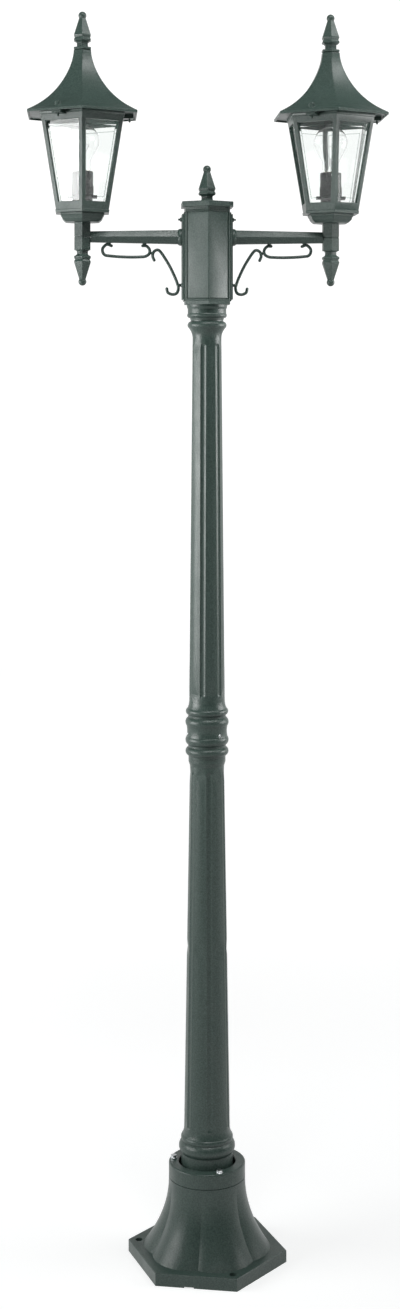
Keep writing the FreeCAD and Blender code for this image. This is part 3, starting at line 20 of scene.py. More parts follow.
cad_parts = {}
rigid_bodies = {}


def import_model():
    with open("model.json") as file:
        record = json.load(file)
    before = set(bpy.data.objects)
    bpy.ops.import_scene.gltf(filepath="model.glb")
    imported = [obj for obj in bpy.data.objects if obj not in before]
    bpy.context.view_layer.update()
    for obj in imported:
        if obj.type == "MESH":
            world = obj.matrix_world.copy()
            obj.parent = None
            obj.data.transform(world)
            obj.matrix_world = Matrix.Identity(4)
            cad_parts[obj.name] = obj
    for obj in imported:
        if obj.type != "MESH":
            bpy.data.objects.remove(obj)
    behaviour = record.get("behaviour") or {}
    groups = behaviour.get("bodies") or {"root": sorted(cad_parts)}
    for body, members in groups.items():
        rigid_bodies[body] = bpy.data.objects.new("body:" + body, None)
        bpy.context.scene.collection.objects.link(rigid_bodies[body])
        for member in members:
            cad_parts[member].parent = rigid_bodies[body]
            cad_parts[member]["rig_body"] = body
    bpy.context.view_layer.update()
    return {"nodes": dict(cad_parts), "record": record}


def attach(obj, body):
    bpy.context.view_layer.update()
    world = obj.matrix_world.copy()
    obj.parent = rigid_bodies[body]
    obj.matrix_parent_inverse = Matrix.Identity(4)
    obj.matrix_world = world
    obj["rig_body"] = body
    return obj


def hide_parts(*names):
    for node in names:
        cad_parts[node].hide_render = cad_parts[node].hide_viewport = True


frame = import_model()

logging.basicConfig(level=logging.INFO, format="%(message)s")
log = logging.getLogger("lamp_post")

# Points of a section, as (radius, height) or (distance, level)
Outline = Sequence[tuple[float, float]]
FULL_TURN = 2 * math.pi
NODES = frame["nodes"]
SLOTS = {row["node"]: row["material_slot"] for row in frame["record"]["subparts"]}


class Side(Enum):
    """The two arms, with the direction along X in which each one points."""

    LEFT = -1
    RIGHT = 1

    @property
    def prefix(self) -> str:
        """Start of the names of this side's nodes and pieces."""
        return f"{self.name.lower()}_"


def mm(value: float) -> float:
    """Turn millimetres into metres."""
    return value / 1000


# Points nearer to each other than this become one
MERGE_DISTANCE = mm(0.005)
# Refraction of resins, in a coat or a moulding
RESIN_IOR = 1.5
# The span in which most of a noise's values lie
NOISE_SPAN = (0.3, 0.7)
WHITE = "#ffffff"


def linear(hex_colour: str) -> tuple[float, float, float, float]:
    """Turn an sRGB hex colour into linear red, green, blue and alpha.

    Args:
        hex_colour: Six hex digits after a hash sign.

    Returns:
        The linear colour, with an alpha of 1.
    """
    channels = [int(hex_colour[start:start + 2], 16) / 255 for start in (1, 3, 5)]
    red, green, blue = (c / 12.92 if c <= 0.04045 else ((c + 0.055) / 1.055) ** 2.4
                        for c in channels)
    return red, green, blue, 1.0


def add_node(tree: bpy.types.NodeTree, kind: str, inputs: dict[str | int, Any] | None = None,
             **settings: Any) -> bpy.types.Node:
    """Add a node to a tree with its settings, values and links.

    Args:
        tree: The node tree of a material or the world.
        kind: Blender's name for the kind of node.
        inputs: Values for input sockets, or output sockets to link to them.
        settings: Properties of the node itself.

    Returns:
        The new node.
    """
    node = tree.nodes.new(kind)
    for name, value in settings.items():
        setattr(node, name, value)
    for key, value in (inputs or {}).items():
        if isinstance(value, bpy.types.NodeSocket):
            tree.links.new(value, node.inputs[key])
        else:
            node.inputs[key].default_value = value
    return node


@dataclass(frozen=True)
class Finish(ABC):
    """A surface finish that makes one material."""

    name: str

    def material(self) -> bpy.types.Material:
        """Give the material of this finish, made on its first use."""
        known = bpy.data.materials.get(self.name)
        if known:
            return known
        made = bpy.data.materials.new(self.name)
        made.use_nodes = True
        made.node_tree.nodes.clear()
        shader = self.shade(made.node_tree)
        add_node(made.node_tree, "ShaderNodeOutputMaterial", {"Surface": shader})
        return made

    @abstractmethod
    def shade(self, tree: bpy.types.NodeTree) -> bpy.types.NodeSocket:
        """Build the shader.

        Args:
            tree: The material's empty node tree.

        Returns:
            The socket that feeds the surface.
        """


def noise(tree: bpy.types.NodeTree, size: float, detail: float = 2.0) -> bpy.types.NodeSocket:
    """Add object-space noise.

    Args:
        tree: The material's node tree.
        size: Width of one feature in metres.
        detail: Octaves of finer noise in it.

    Returns:
        The noise value's socket.
    """
    place = add_node(tree, "ShaderNodeTexCoord")
    return add_node(tree, "ShaderNodeTexNoise", {
        "Vector": place.outputs["Object"], "Scale": 1 / size, "Detail": detail}).outputs["Fac"]


def blend_colours(tree: bpy.types.NodeTree, share: bpy.types.NodeSocket, low: str, high: str,
                  span: tuple[float, float] = (0.35, 0.65)) -> bpy.types.NodeSocket:
    """Blend two colours by a value.

    Args:
        tree: The material's node tree.
        share: The socket that drives the blend.
        low: Hex colour at the low end of the span.
        high: Hex colour at its high end.
        span: Values of the driver at which the blend starts and ends.

    Returns:
        The blended colour's socket.
    """
    ramp = add_node(tree, "ShaderNodeValToRGB", {"Fac": share})
    for stop, place, colour in zip(ramp.color_ramp.elements, span, (low, high)):
        stop.position, stop.color = place, linear(colour)
    return ramp.outputs["Color"]


def spread(tree: bpy.types.NodeTree, value: bpy.types.NodeSocket, low: float,
           high: float) -> bpy.types.NodeSocket:
    """Map a noise value on to a range.

    Args:
        tree: The material's node tree.
        value: The noise value's socket.
        low: Result where the noise is low.
        high: Result where it is high.

    Returns:
        The mapped value's socket.
    """
    return add_node(tree, "ShaderNodeMapRange", {
        "Value": value, "From Min": NOISE_SPAN[0], "From Max": NOISE_SPAN[1], "To Min": low,
        "To Max": high}).outputs["Result"]


def bumps(tree: bpy.types.NodeTree,
          layers: Sequence[tuple[bpy.types.NodeSocket, float]]) -> bpy.types.NodeSocket:
    """Chain bump nodes.

    Args:
        tree: The material's node tree.
        layers: A height socket and the height in metres of each layer.

    Returns:
        The normal's socket.
    """
    inputs: dict[str | int, Any] = {}
    for height, distance in layers:
        inputs = {**inputs, "Height": height, "Distance": distance}
        inputs = {"Normal": add_node(tree, "ShaderNodeBump", inputs).outputs["Normal"]}
    return inputs["Normal"]


@dataclass(frozen=True)
class PowderCoat(Finish):
    """Polyester powder coat on cast aluminium: an even dark grey-green, satin, finely textured."""

    # The coat's tones lie close together, and the eye reads them as a fine grain
    shade_tone: str = "#31413c"
    light_tone: str = "#44554f"
    roughness: float = 0.37
    # The real grain is about 0.5 mm; it is drawn at 2.4 mm, because a finer one wouldn't show
    grain: float = mm(2.4)
    grain_height: float = mm(0.22)
    # Slow waves that a sand-cast wall leaves under the coat
    waves: float = mm(34)
    wave_height: float = mm(0.35)
    # How much smoother and rougher than its mean the coat gets
    smoother: float = 0.05
    rougher: float = 0.06

    def shade(self, tree: bpy.types.NodeTree) -> bpy.types.NodeSocket:
        """Build the coat's shader, as described in the base class."""
        fine, slow = noise(tree, self.grain, 3), noise(tree, self.waves)
        normal = bumps(tree, [(slow, self.wave_height), (fine, self.grain_height)])
        coat = add_node(tree, "ShaderNodeBsdfPrincipled", {
            "Base Color": blend_colours(tree, fine, self.shade_tone, self.light_tone),
            "Roughness": spread(tree, slow, self.roughness - self.smoother,
                                self.roughness + self.rougher),
            "IOR": RESIN_IOR, "Normal": normal})
        return coat.outputs["BSDF"]


@dataclass(frozen=True)
class BareMetal(Finish):
    """Bare or plated metal: its colour, its polish and the size of its crystals or scratches."""

    tone: str
    high_tone: str
    roughness: float
    texture: float = mm(1.5)
    texture_height: float = mm(0.02)
    smoother: float = 0.06
    rougher: float = 0.08

    def shade(self, tree: bpy.types.NodeTree) -> bpy.types.NodeSocket:
        """Build the metal's shader, as described in the base class."""
        fine = noise(tree, self.texture, 3)
        metal = add_node(tree, "ShaderNodeBsdfPrincipled", {
            "Base Color": blend_colours(tree, fine, self.tone, self.high_tone), "Metallic": 1.0,
            "Roughness": spread(tree, fine, self.roughness - self.smoother,
                                self.roughness + self.rougher),
            "Normal": bumps(tree, [(fine, self.texture_height)])})
        return metal.outputs["BSDF"]


@dataclass(frozen=True)
class ClearGlass(Finish):
    """Clear glass: drawn soda-lime sheet in the windows, or blown glass in the lamp."""

    tint: str
    # Ripple left by drawing or blowing, which bends reflections a little
    ripple: float
    ripple_height: float
    refraction: float = 1.5

    def shade(self, tree: bpy.types.NodeTree) -> bpy.types.NodeSocket:
        """Build the glass's shader, as described in the base class."""
        glass = add_node(tree, "ShaderNodeBsdfPrincipled", {
            "Base Color": linear(self.tint), "Roughness": 0.0, "IOR": self.refraction,
            "Transmission Weight": 1.0,
            "Normal": bumps(tree, [(noise(tree, self.ripple), self.ripple_height)])})
        # Rays from the lamps pass straight through, so that they reach what is behind the glass
        shadow = add_node(tree, "ShaderNodeLightPath").outputs["Is Shadow Ray"]
        clear = add_node(tree, "ShaderNodeBsdfTransparent")
        return add_node(tree, "ShaderNodeMixShader", {
            0: shadow, 1: glass.outputs["BSDF"], 2: clear.outputs["BSDF"]}).outputs["Shader"]


@dataclass(frozen=True)
class Moulded(Finish):
    """Moulded insulator: phenolic or polyamide, with the fine texture of its mould."""

    tone: str
    high_tone: str
    roughness: float
    texture: float = mm(2)
    texture_height: float = mm(0.05)
    unevenness: float = 0.05

    def shade(self, tree: bpy.types.NodeTree) -> bpy.types.NodeSocket:
        """Build the plastic's shader, as described in the base class."""
        fine = noise(tree, self.texture, 4)
        plastic = add_node(tree, "ShaderNodeBsdfPrincipled", {
            "Base Color": blend_colours(tree, fine, self.tone, self.high_tone),
            "Roughness": spread(tree, fine, self.roughness - self.unevenness,
                                self.roughness + self.unevenness),
            "IOR": RESIN_IOR, "Normal": bumps(tree, [(fine, self.texture_height)])})
        return plastic.outputs["BSDF"]


COAT = PowderCoat("powder_coated_cast_aluminium")
# Bright zinc plate on steel: cool and light, with soft reflections
ZINC = BareMetal("bright_zinc_plated_steel", "#c3c7c9", "#dde0e1", 0.3)
# Drawn aluminium tube, left bare inside the joint
ALUMINIUM = BareMetal("drawn_aluminium", "#b4b6b6", "#c8caca", 0.38)
# Nickel-plated brass of a lamp's cap
CAP_METAL = BareMetal("nickel_plated_brass", "#b9b5a8", "#cfcbbf", 0.24)
# Pressed brass of the holder's threaded shell
BRASS = BareMetal("pressed_brass", "#b08d4f", "#c7a568", 0.3)
# Drawn tungsten of the filament and its leads, dark grey
TUNGSTEN = BareMetal("drawn_tungsten", "#6d6d70", "#858588", 0.4)
# Float glass looks faintly green at its edges
SHEET_GLASS = ClearGlass("bevelled_float_glass", "#fcfefd", mm(60), mm(0.08))
# Pale grey tint of a strip along a bevel's inner edge: a painted line that stands in for the
# bevel's refraction
PAINTED_BEVEL_LINE = ClearGlass("ground_glass_edge", "#cdd3d1", mm(20), mm(0.02))
# Blown lamp glass has no colour to see, and is thinner than its model, so it bends light less here
LAMP_GLASS = ClearGlass("blown_lamp_glass", "#fefefe", mm(40), mm(0.05), 1.2)
# Steel bracket of the lampholder, dipped in black lacquer
LACQUER = Moulded("black_lacquered_steel", "#17191a", "#242727", 0.35)
# Black phenolic of the lampholder, with a dull shine
PHENOLIC = Moulded("black_phenolic", "#151817", "#222625", 0.24)
# Black glass round the contact of a lamp's cap
VITRITE = Moulded("black_vitrite", "#101112", "#1b1c1d", 0.2)
# Natural polyamide of the cable terminal, off-white
POLYAMIDE = Moulded("natural_polyamide", "#c9c4b2", "#d8d4c4", 0.5)

FINISHES: dict[str, Finish] = {
    "painted_casting": COAT, "zinc_plated_steel": ZINC, "bare_aluminium": ALUMINIUM,
    "terminal_plastic": POLYAMIDE, "pane_glass": SHEET_GLASS, "holder_phenolic": PHENOLIC,
    "shell_brass": BRASS, "lamp_cap_metal": CAP_METAL, "lamp_glass": LAMP_GLASS,
    "black_steel": LACQUER,
}


def work_on(piece: bpy.types.Object) -> bpy.types.Object:
    """Make a piece the only selected object and the active one.

    Args:
        piece: The object to work on.

    Returns:
        The same object.
    """
    bpy.ops.object.select_all(action="DESELECT")
    piece.select_set(True)
    bpy.context.view_layer.objects.active = piece
    return piece


@contextmanager
def edit_mode(piece: bpy.types.Object, kind: str = "VERT") -> Iterator[None]:
    """Work on a piece in edit mode, and leave that mode at the end.

    Args:
        piece: The mesh object to edit.
        kind: Blender's name for the kind of element to select.
    """
    work_on(piece)
    bpy.ops.object.mode_set(mode="EDIT")
    bpy.ops.mesh.select_mode(type=kind)
    yield
    bpy.ops.object.mode_set(mode="OBJECT")


def pick_faces(piece: bpy.types.Object, wanted: Callable[[bmesh.types.BMFace], bool]) -> None:
    """Select only the wanted faces of the piece in edit mode.

    Args:
        piece: The mesh object in edit mode.
        wanted: Says whether a face is wanted, by its place or normal.
    """
    mesh = bmesh.from_edit_mesh(piece.data)
    for face in mesh.faces:
        face.select_set(False)
    for face in mesh.faces:
        if wanted(face):
            face.select_set(True)
    bmesh.update_edit_mesh(piece.data)


def tidy_mesh(piece: bpy.types.Object, angle: float = 35.0) -> bpy.types.Object:
    """Merge doubles, turn all faces outwards and shade smooth up to an angle.

    Args:
        piece: The mesh object.
        angle: Largest angle in degrees between faces that are shaded as one.

    Returns:
        The same object.
    """
    with edit_mode(piece):
        bpy.ops.mesh.select_all(action="SELECT")
        bpy.ops.mesh.remove_doubles(threshold=MERGE_DISTANCE)
        bpy.ops.mesh.normals_make_consistent(inside=False)
    work_on(piece)
    bpy.ops.object.shade_smooth_by_angle(angle=math.radians(angle))
    return piece


def apply_modifier(piece: bpy.types.Object, kind: str, **settings: Any) -> bpy.types.Object:
    """Add a modifier with its settings and apply it.

    Args:
        piece: The mesh object.
        kind: Blender's name for the kind of modifier.
        settings: Properties of the modifier.

    Returns:
        The same object.
    """
    modifier = piece.modifiers.new(kind.title(), kind)
    for name, value in settings.items():
        setattr(modifier, name, value)
    work_on(piece)
    bpy.ops.object.modifier_apply(modifier=modifier.name)
    return piece


def settle(piece: bpy.types.Object, place: Matrix = Matrix.Identity(4)) -> bpy.types.Object:
    """Move a finished mesh to its place, with its object left at the origin.

    Args:
        piece: The mesh object.
        place: Where it goes, from where it was modelled.

    Returns:
        The same object.
    """
    work_on(piece)
    bpy.ops.object.transform_apply(location=True, rotation=True, scale=True)
    piece.data.transform(place)
    return piece


def own_copy(piece: bpy.types.Object, name: str) -> bpy.types.Object:
    """Copy an object with a mesh of its own, and add the copy to the scene.

    Args:
        piece: The mesh object.
        name: Name of the copy.

    Returns:
        The copy.
    """
    double = bpy.data.objects.new(name, piece.data.copy())
    bpy.context.scene.collection.objects.link(double)
    return double


def copies(piece: bpy.types.Object, places: Sequence[Matrix]) -> bpy.types.Object:
    """Copy a piece to several places, each copy with its own mesh, and join the copies.

    Args:
        piece: The mesh object, which is used up.
        places: Where each copy goes, from where the piece was modelled.

    Returns:
        The joined object, under the piece's name.
    """
    name = piece.name
    parts = []
    for place in places:
        part = own_copy(piece, name)
        part.data.transform(place)
        parts.append(part)
    bpy.data.objects.remove(piece)
    joined = join(parts)
    joined.name = name
    return joined


def join(parts: Sequence[bpy.types.Object]) -> bpy.types.Object:
    """Join mesh objects into the first one.

    Args:
        parts: The objects, each at the origin.

    Returns:
        The first object, which now holds all the meshes.
    """
    work_on(parts[0])
    for part in parts:
        part.select_set(True)
    bpy.ops.object.join()
    return parts[0]


def drawn_line(name: str, points: Sequence[tuple[float, float, float]]) -> bpy.types.Object:
    """Draw a line of edges from point to point.

    Args:
        name: Name of the piece.
        points: Its points as (x, y, z).

    Returns:
        The line, a mesh without faces.
    """
    bpy.ops.object.select_all(action="DESELECT")
    bpy.ops.mesh.primitive_plane_add(size=mm(1))
    piece = bpy.context.object
    piece.name = piece.data.name = name
    here = Vector()
    with edit_mode(piece):
        bpy.ops.mesh.select_all(action="SELECT")
        bpy.ops.mesh.merge(type="CENTER")
        for number, point in enumerate(points):
            step = Vector([mm(value) for value in point]) - here
            if number == 0:
                bpy.ops.transform.translate(value=step)
            else:
                bpy.ops.mesh.extrude_region_move(TRANSFORM_OT_translate={"value": step})
            here += step
    return piece


def turned(name: str, outline: Outline, steps: int = 64, closed: bool = False) -> bpy.types.Object:
    """Turn an outline round the Z axis, as on a lathe.

    Args:
        name: Name of the piece.
        outline: Its points as (radius, height).
        steps: Facets round the turn.
        closed: True if the outline's last point joins its first.

    Returns:
        The turned piece.
    """
    piece = drawn_line(name, [(radius, 0, height) for radius, height in outline])
    with edit_mode(piece):
        if closed:
            mesh = bmesh.from_edit_mesh(piece.data)
            mesh.edges.new([vertex for vertex in mesh.verts if len(vertex.link_edges) < 2])
            bmesh.update_edit_mesh(piece.data)
        bpy.ops.mesh.select_all(action="SELECT")
        bpy.ops.mesh.spin(steps=steps, angle=FULL_TURN, center=(0, 0, 0), axis=(0, 0, 1))
    return tidy_mesh(piece)


def arc(centre: tuple[float, float], radius: float, start: float, end: float,
        points: int) -> list[tuple[float, float]]:
    """Give points on an arc of an outline.

    Args:
        centre: Its centre as (radius, height).
        radius: Its radius.
        start: Angle of its first point, in degrees from outwards.
        end: Angle of its last point.
        points: Number of stretches in it.

    Returns:
        The points, first and last included.
    """
    angles = [math.radians(start + (end - start) * step / points) for step in range(points + 1)]
    return [(centre[0] + radius * math.cos(a), centre[1] + radius * math.sin(a)) for a in angles]


def raised(outline: Outline, level: float) -> list[tuple[float, float]]:
    """Give an outline's points with their heights counted from a level."""
    return [(radius, level + height) for radius, height in outline]


def moved(across: float, deep: float, up: float) -> Matrix:
    """Give a move along X, Y and Z."""
    return Matrix.Translation((mm(across), mm(deep), mm(up)))


def swung(degrees: float, axis: str = "Z") -> Matrix:
    """Give a turn in degrees about an axis through the origin."""
    return Matrix.Rotation(math.radians(degrees), 4, axis)


def carve(piece: bpy.types.Object, tool: bpy.types.Object,
          operation: str = "DIFFERENCE") -> bpy.types.Object:
    """Cut a tool out of a piece, or keep only what both fill.

    Args:
        piece: The mesh object.
        tool: The cutting mesh object, which is used up.
        operation: Blender's name for the boolean.

    Returns:
        The piece.
    """
    apply_modifier(piece, "BOOLEAN", object=tool, operation=operation, solver="EXACT")
    bpy.data.objects.remove(tool)
    return piece


def prism(name: str, flats: float, low: float, high: float, sides: int = 6) -> bpy.types.Object:
    """Make an upright prism on the Z axis.

    Args:
        name: Name of the piece.
        flats: Width across its flats.
        low: Level of its foot.
        high: Level of its top.
        sides: Number of its sides.

    Returns:
        The prism.
    """
    foot, top = mm(low), mm(high)
    bpy.ops.object.select_all(action="DESELECT")
    bpy.ops.mesh.primitive_cylinder_add(
        vertices=sides, radius=mm(flats) / 2 / math.cos(math.pi / sides),
        depth=top - foot, location=(0, 0, (foot + top) / 2))
    piece = bpy.context.object
    piece.name = piece.data.name = name
    return settle(piece)


def bar(size: tuple[float, float, float], level: float) -> bpy.types.Object:
    """Make a cutting bar with its centre on the Z axis.

    Args:
        size: Its sizes along X, Y and Z.
        level: Level of its centre.

    Returns:
        The bar.
    """
    bpy.ops.object.select_all(action="DESELECT")
    bpy.ops.mesh.primitive_cube_add(size=1, location=(0, 0, mm(level)),
                                    scale=[mm(length) for length in size])
    return settle(bpy.context.object)


@dataclass(frozen=True)
class HexNut:
    """A hexagon nut or head, chamfered at 30 degrees as on a lathe."""

    flats: float
    low: float
    high: float
    # Radius of the bore, or zero for a solid head
    bore: float = 0.0
    slant: float = math.radians(30)
    # Share of the flats at which the chamfer starts, and how far it runs out past the corners
    chamfer_start: float = 0.96
    corner_room: float = 0.2
    bore_overrun: float = 1.0
    bore_steps: int = 40

    def make(self, name: str) -> bpy.types.Object:
        """Make the nut on the Z axis.

        Args:
            name: Name of the piece.

        Returns:
            The nut.
        """
        nut = prism(name, self.flats, self.low, self.high)
        corner = self.flats / 2 / math.cos(self.slant) + self.corner_room
        face = self.flats / 2 * self.chamfer_start
        rise = (corner - face) * math.tan(self.slant)
        carve(nut, turned("chamfer", [
            (0, self.low), (face, self.low), (corner, self.low + rise),
            (corner, self.high - rise), (face, self.high), (0, self.high)]), "INTERSECT")
        if self.bore:
            carve(nut, prism("bore", 2 * self.bore, self.low - self.bore_overrun,
                             self.high + self.bore_overrun, self.bore_steps))
        return tidy_mesh(nut, angle=25)


@dataclass(frozen=True)
class Thread:
    """A screw thread, turned with one ridge for each pitch."""

    radius: float
    pitch: float
    depth: float
    # The pointed end: its radius, and its length up to the first groove
    point: float = 0.0
    lead: float = 0.0
    # Where a crest starts and ends, as shares of the pitch
    crest: tuple[float, float] = (0.4, 0.6)

    def outline(self, low: float, high: float) -> list[tuple[float, float]]:
        """Give the thread's outline between two levels.

        Args:
            low: Level at which it starts.
            high: Level at which it ends.

        Returns:
            Its points as (radius, height), from the lower to the upper end.
        """
        count = max(1, round((high - low) / self.pitch))
        step = (high - low) / count
        points = [(self.radius - self.depth, low)]
        for turn in range(count):
            foot = low + turn * step
            points += [*((self.radius, foot + share * step) for share in self.crest),
                       (self.radius - self.depth, foot + step)]
        return points

    def shank(self, low: float, high: float) -> list[tuple[float, float]]:
        """Give the outline of a solid shank with its pointed end at the lower level."""
        return [(0, low), (self.point, low), *self.outline(low + self.lead, high)]


M6 = Thread(3.0, 1.0, 0.55, 2.0, 0.6)


def coil(name: str, profile: Outline, pitch: float, turns: int, steps: int) -> bpy.types.Object:
    """Wind an open or closed profile round the Z axis into a helix.

    Args:
        name: Name of the piece.
        profile: Its points as (radius, height).
        pitch: Rise of one turn.
        turns: Number of turns.
        steps: Facets in one turn.

    Returns:
        The wound piece.
    """
    piece = drawn_line(name, [(radius, 0, height) for radius, height in profile])
    apply_modifier(piece, "SCREW", axis="Z", screw_offset=mm(pitch), iterations=turns,
                   steps=steps, render_steps=steps)
    return tidy_mesh(piece)


def wire(name: str, points: Sequence[tuple[float, float, float]],
         radius: float) -> bpy.types.Object:
    """Make a bent wire.

    Args:
        name: Name of the piece.
        points: Points along it as (x, y, z).
        radius: Radius of the wire.

    Returns:
        The wire as a mesh.
    """
    piece = work_on(drawn_line(name, points))
    bpy.ops.object.convert(target="CURVE")
    curve = piece.data
    curve.bevel_depth, curve.bevel_resolution, curve.use_fill_caps = mm(radius), 3, True
    bpy.ops.object.convert(target="MESH")
    piece.name = piece.data.name = name
    return tidy_mesh(piece, angle=60)


def finish_piece(piece: bpy.types.Object, node: str, finish: Finish | None = None,
                 slot: str | None = None) -> bpy.types.Object:
    """Give a piece its material, and let it stand for a node and ride on that node's body.

    Args:
        piece: The finished mesh object.
        node: Name of the node that it replaces.
        finish: Its finish, if it isn't that of the slot.
        slot: Its material slot in the record, if it isn't the node's own.

    Returns:
        The same object.
    """
    slot = slot or SLOTS[node]
    piece.data.materials.clear()
    piece.data.materials.append((finish or FINISHES[slot]).material())
    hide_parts(node)
    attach(piece, NODES[node]["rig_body"])
    log.info("%s stands for %s, %d faces", piece.name, node, len(piece.data.polygons))
    return piece


def copy_of(node: str, name: str, angle: float = 0.4) -> bpy.types.Object:
    """Copy a node's mesh and merge the facets of its flat faces.

    Args:
        node: Name of the node.
        name: Name of the copy.
        angle: Largest angle in degrees between facets that become one face.

    Returns:
        The copy.
    """
    piece = own_copy(NODES[node], name)
    with edit_mode(piece):
        bpy.ops.mesh.select_all(action="SELECT")
        bpy.ops.mesh.remove_doubles(threshold=MERGE_DISTANCE)
        bpy.ops.mesh.dissolve_limited(angle_limit=math.radians(angle))
    return piece


def round_edges(piece: bpy.types.Object, width: float, sharp: float,
                harden: bool = False) -> bpy.types.Object:
    """Round the sharp edges of a piece.

    Args:
        piece: The mesh object.
        width: Width of the rounding.
        sharp: Angle in degrees from which an edge is rounded.
        harden: True if the flat faces beside the rounding keep their flat shading.

    Returns:
        The same object.
    """
    return apply_modifier(piece, "BEVEL", width=mm(width), segments=2, limit_method="ANGLE",
                          angle_limit=math.radians(sharp), use_clamp_overlap=False,
                          harden_normals=harden)


def cast(node: str, edge: float = 0.6, sharp: float = 32.0,
         extras: Sequence[bpy.types.Object] = ()) -> bpy.types.Object:
    """Make a coated casting: a copy of a node with its facets merged and its edges rounded.

    Args:
        node: Name of the node.
        edge: Width of the rounding, or zero for none.
        sharp: Angle in degrees from which an edge is rounded.
        extras: Finished meshes that are joined to it.

    Returns:
        The piece, which stands for the node.
    """
    piece = work_on(copy_of(node, f"{node}_coated"))
    bpy.ops.object.shade_smooth_by_angle(angle=math.radians(sharp))
    if edge:
        round_edges(piece, edge, sharp, harden=True)
    if extras:
        join([piece, *extras])
    return finish_piece(piece, node)


def keep(node: str) -> None:
    """Keep a node as it is, with the finish of its slot.

    Args:
        node: Name of the node.
    """
    piece = NODES[node]
    piece.data.materials.clear()
    piece.data.materials.append(FINISHES[SLOTS[node]].material())
    log.info("%s keeps its own shape", node)


@dataclass
class Post:
    """The base, the shafts and the joint between them."""

    bolt_circle: float = 61.0
    bolt_turns: tuple[float, ...] = (47.8, 167.8, 287.8)
    bolt_end: float = 130.0
    bolt_seat: float = 175.0
    # The washer's outline, counted from the seat, and the head on it
    washer: Outline = ((2.8, 0), (6.1, 0), (6.4, 0.3), (6.4, 0.9), (6.1, 1.2), (2.8, 1.2))
    bolt_head: HexNut = HexNut(10.0, 176.2, 180.2)
    screw_turns: tuple[float, ...] = (66.0, 186.0, -54.0)
    screw_level: float = 946.5
    # The grub screw lies along its axis, counted from the post's axis
    grub_screw: Outline = ((0, 25), (1.8, 25), (2.9, 26), (2.9, 35.9), (2.3, 36.5), (0, 36.5))
    socket_flats: float = 2.8
    socket_ends: tuple[float, float] = (34.0, 38.0)

    def build(self) -> None:
        """Finish the post's castings, whose turned forms are complete, and make its fasteners."""
        for node in ("base_casting", "clamp_ring", "lower_shaft", "joint_sleeve", "upper_shaft",
                     "joint_spigot"):
            keep(node)
        self.build_bolts()
        self.build_screws()

    def build_bolts(self) -> None:
        """Make three bolts with threaded shanks, rounded washers and chamfered heads."""
        seat = self.bolt_seat
        shank = turned("clamp_bolts", [*M6.shank(self.bolt_end, seat), (0, seat)], steps=32)
        washer = turned("washer", raised(self.washer, seat), steps=48, closed=True)
        bolt = join([shank, washer, self.bolt_head.make("head")])
        places = [swung(turn) @ moved(self.bolt_circle, 0, 0) for turn in self.bolt_turns]
        finish_piece(copies(bolt, places), "clamp_bolts")

    def build_screws(self) -> None:
        """Make three grub screws with a chamfered rim and a hexagon socket."""
        screw = turned("joint_screws", self.grub_screw, steps=40)
        carve(screw, prism("socket", self.socket_flats, *self.socket_ends))
        tidy_mesh(screw, angle=25)
        places = [moved(0, 0, self.screw_level) @ swung(turn) @ swung(90, "Y")
                  for turn in self.screw_turns]
        finish_piece(copies(screw, places), "joint_screws")


@dataclass
class JunctionBox:
    """The hexagonal box on the post, with its lid, spike and inner parts."""

    stud_end: float = 1862.0
    stud_top: float = 1922.2
    block_rounding: float = 0.4
    block_sharp: float = 40.0
    # Each pole's screw: its distance behind the post's axis, and its turn in degrees
    pole_places: tuple[tuple[float, float], ...] = ((13.0, 20.0), (21.0, 75.0), (29.0, 130.0))
    pole_top: float = 1877.3
    pole_screw: Outline = ((0, 1874.1), (1.55, 1874.1), (1.55, 1877), (1.3, 1877.3), (0, 1877.3))
    pole_slot: tuple[float, float, float] = (4.0, 0.5, 1.4)

    def build(self) -> None:
        """Dress the box's castings and make its inner parts."""
        keep("box_base")
        for node in ("box_body", "box_cap", "box_finial", "box_bridge"):
            cast(node)
        self.build_stud()
        self.build_terminal()

    def build_stud(self) -> None:
        """Make the threaded stud between the spike and the bridge."""
        stud = turned("box_finial_stud", [
            *M6.shank(self.stud_end, self.stud_top - M6.lead), (M6.point, self.stud_top),
            (0, self.stud_top)], steps=32)
        finish_piece(stud, "box_finial_stud")

    def build_terminal(self) -> None:
        """Round the terminal's edges and make a slotted brass screw for each of its three poles."""
        block = copy_of("terminal_block", "terminal_block_moulded")
        round_edges(block, self.block_rounding, self.block_sharp)
        finish_piece(tidy_mesh(block), "terminal_block")
        screw = turned("terminal_screws", self.pole_screw, steps=32)
        carve(screw, bar(self.pole_slot, self.pole_top))
        places = [moved(0, deep, 0) @ swung(turn) for deep, turn in self.pole_places]
        finish_piece(copies(tidy_mesh(screw, angle=25), places), "terminal_block",
                     slot="shell_brass")


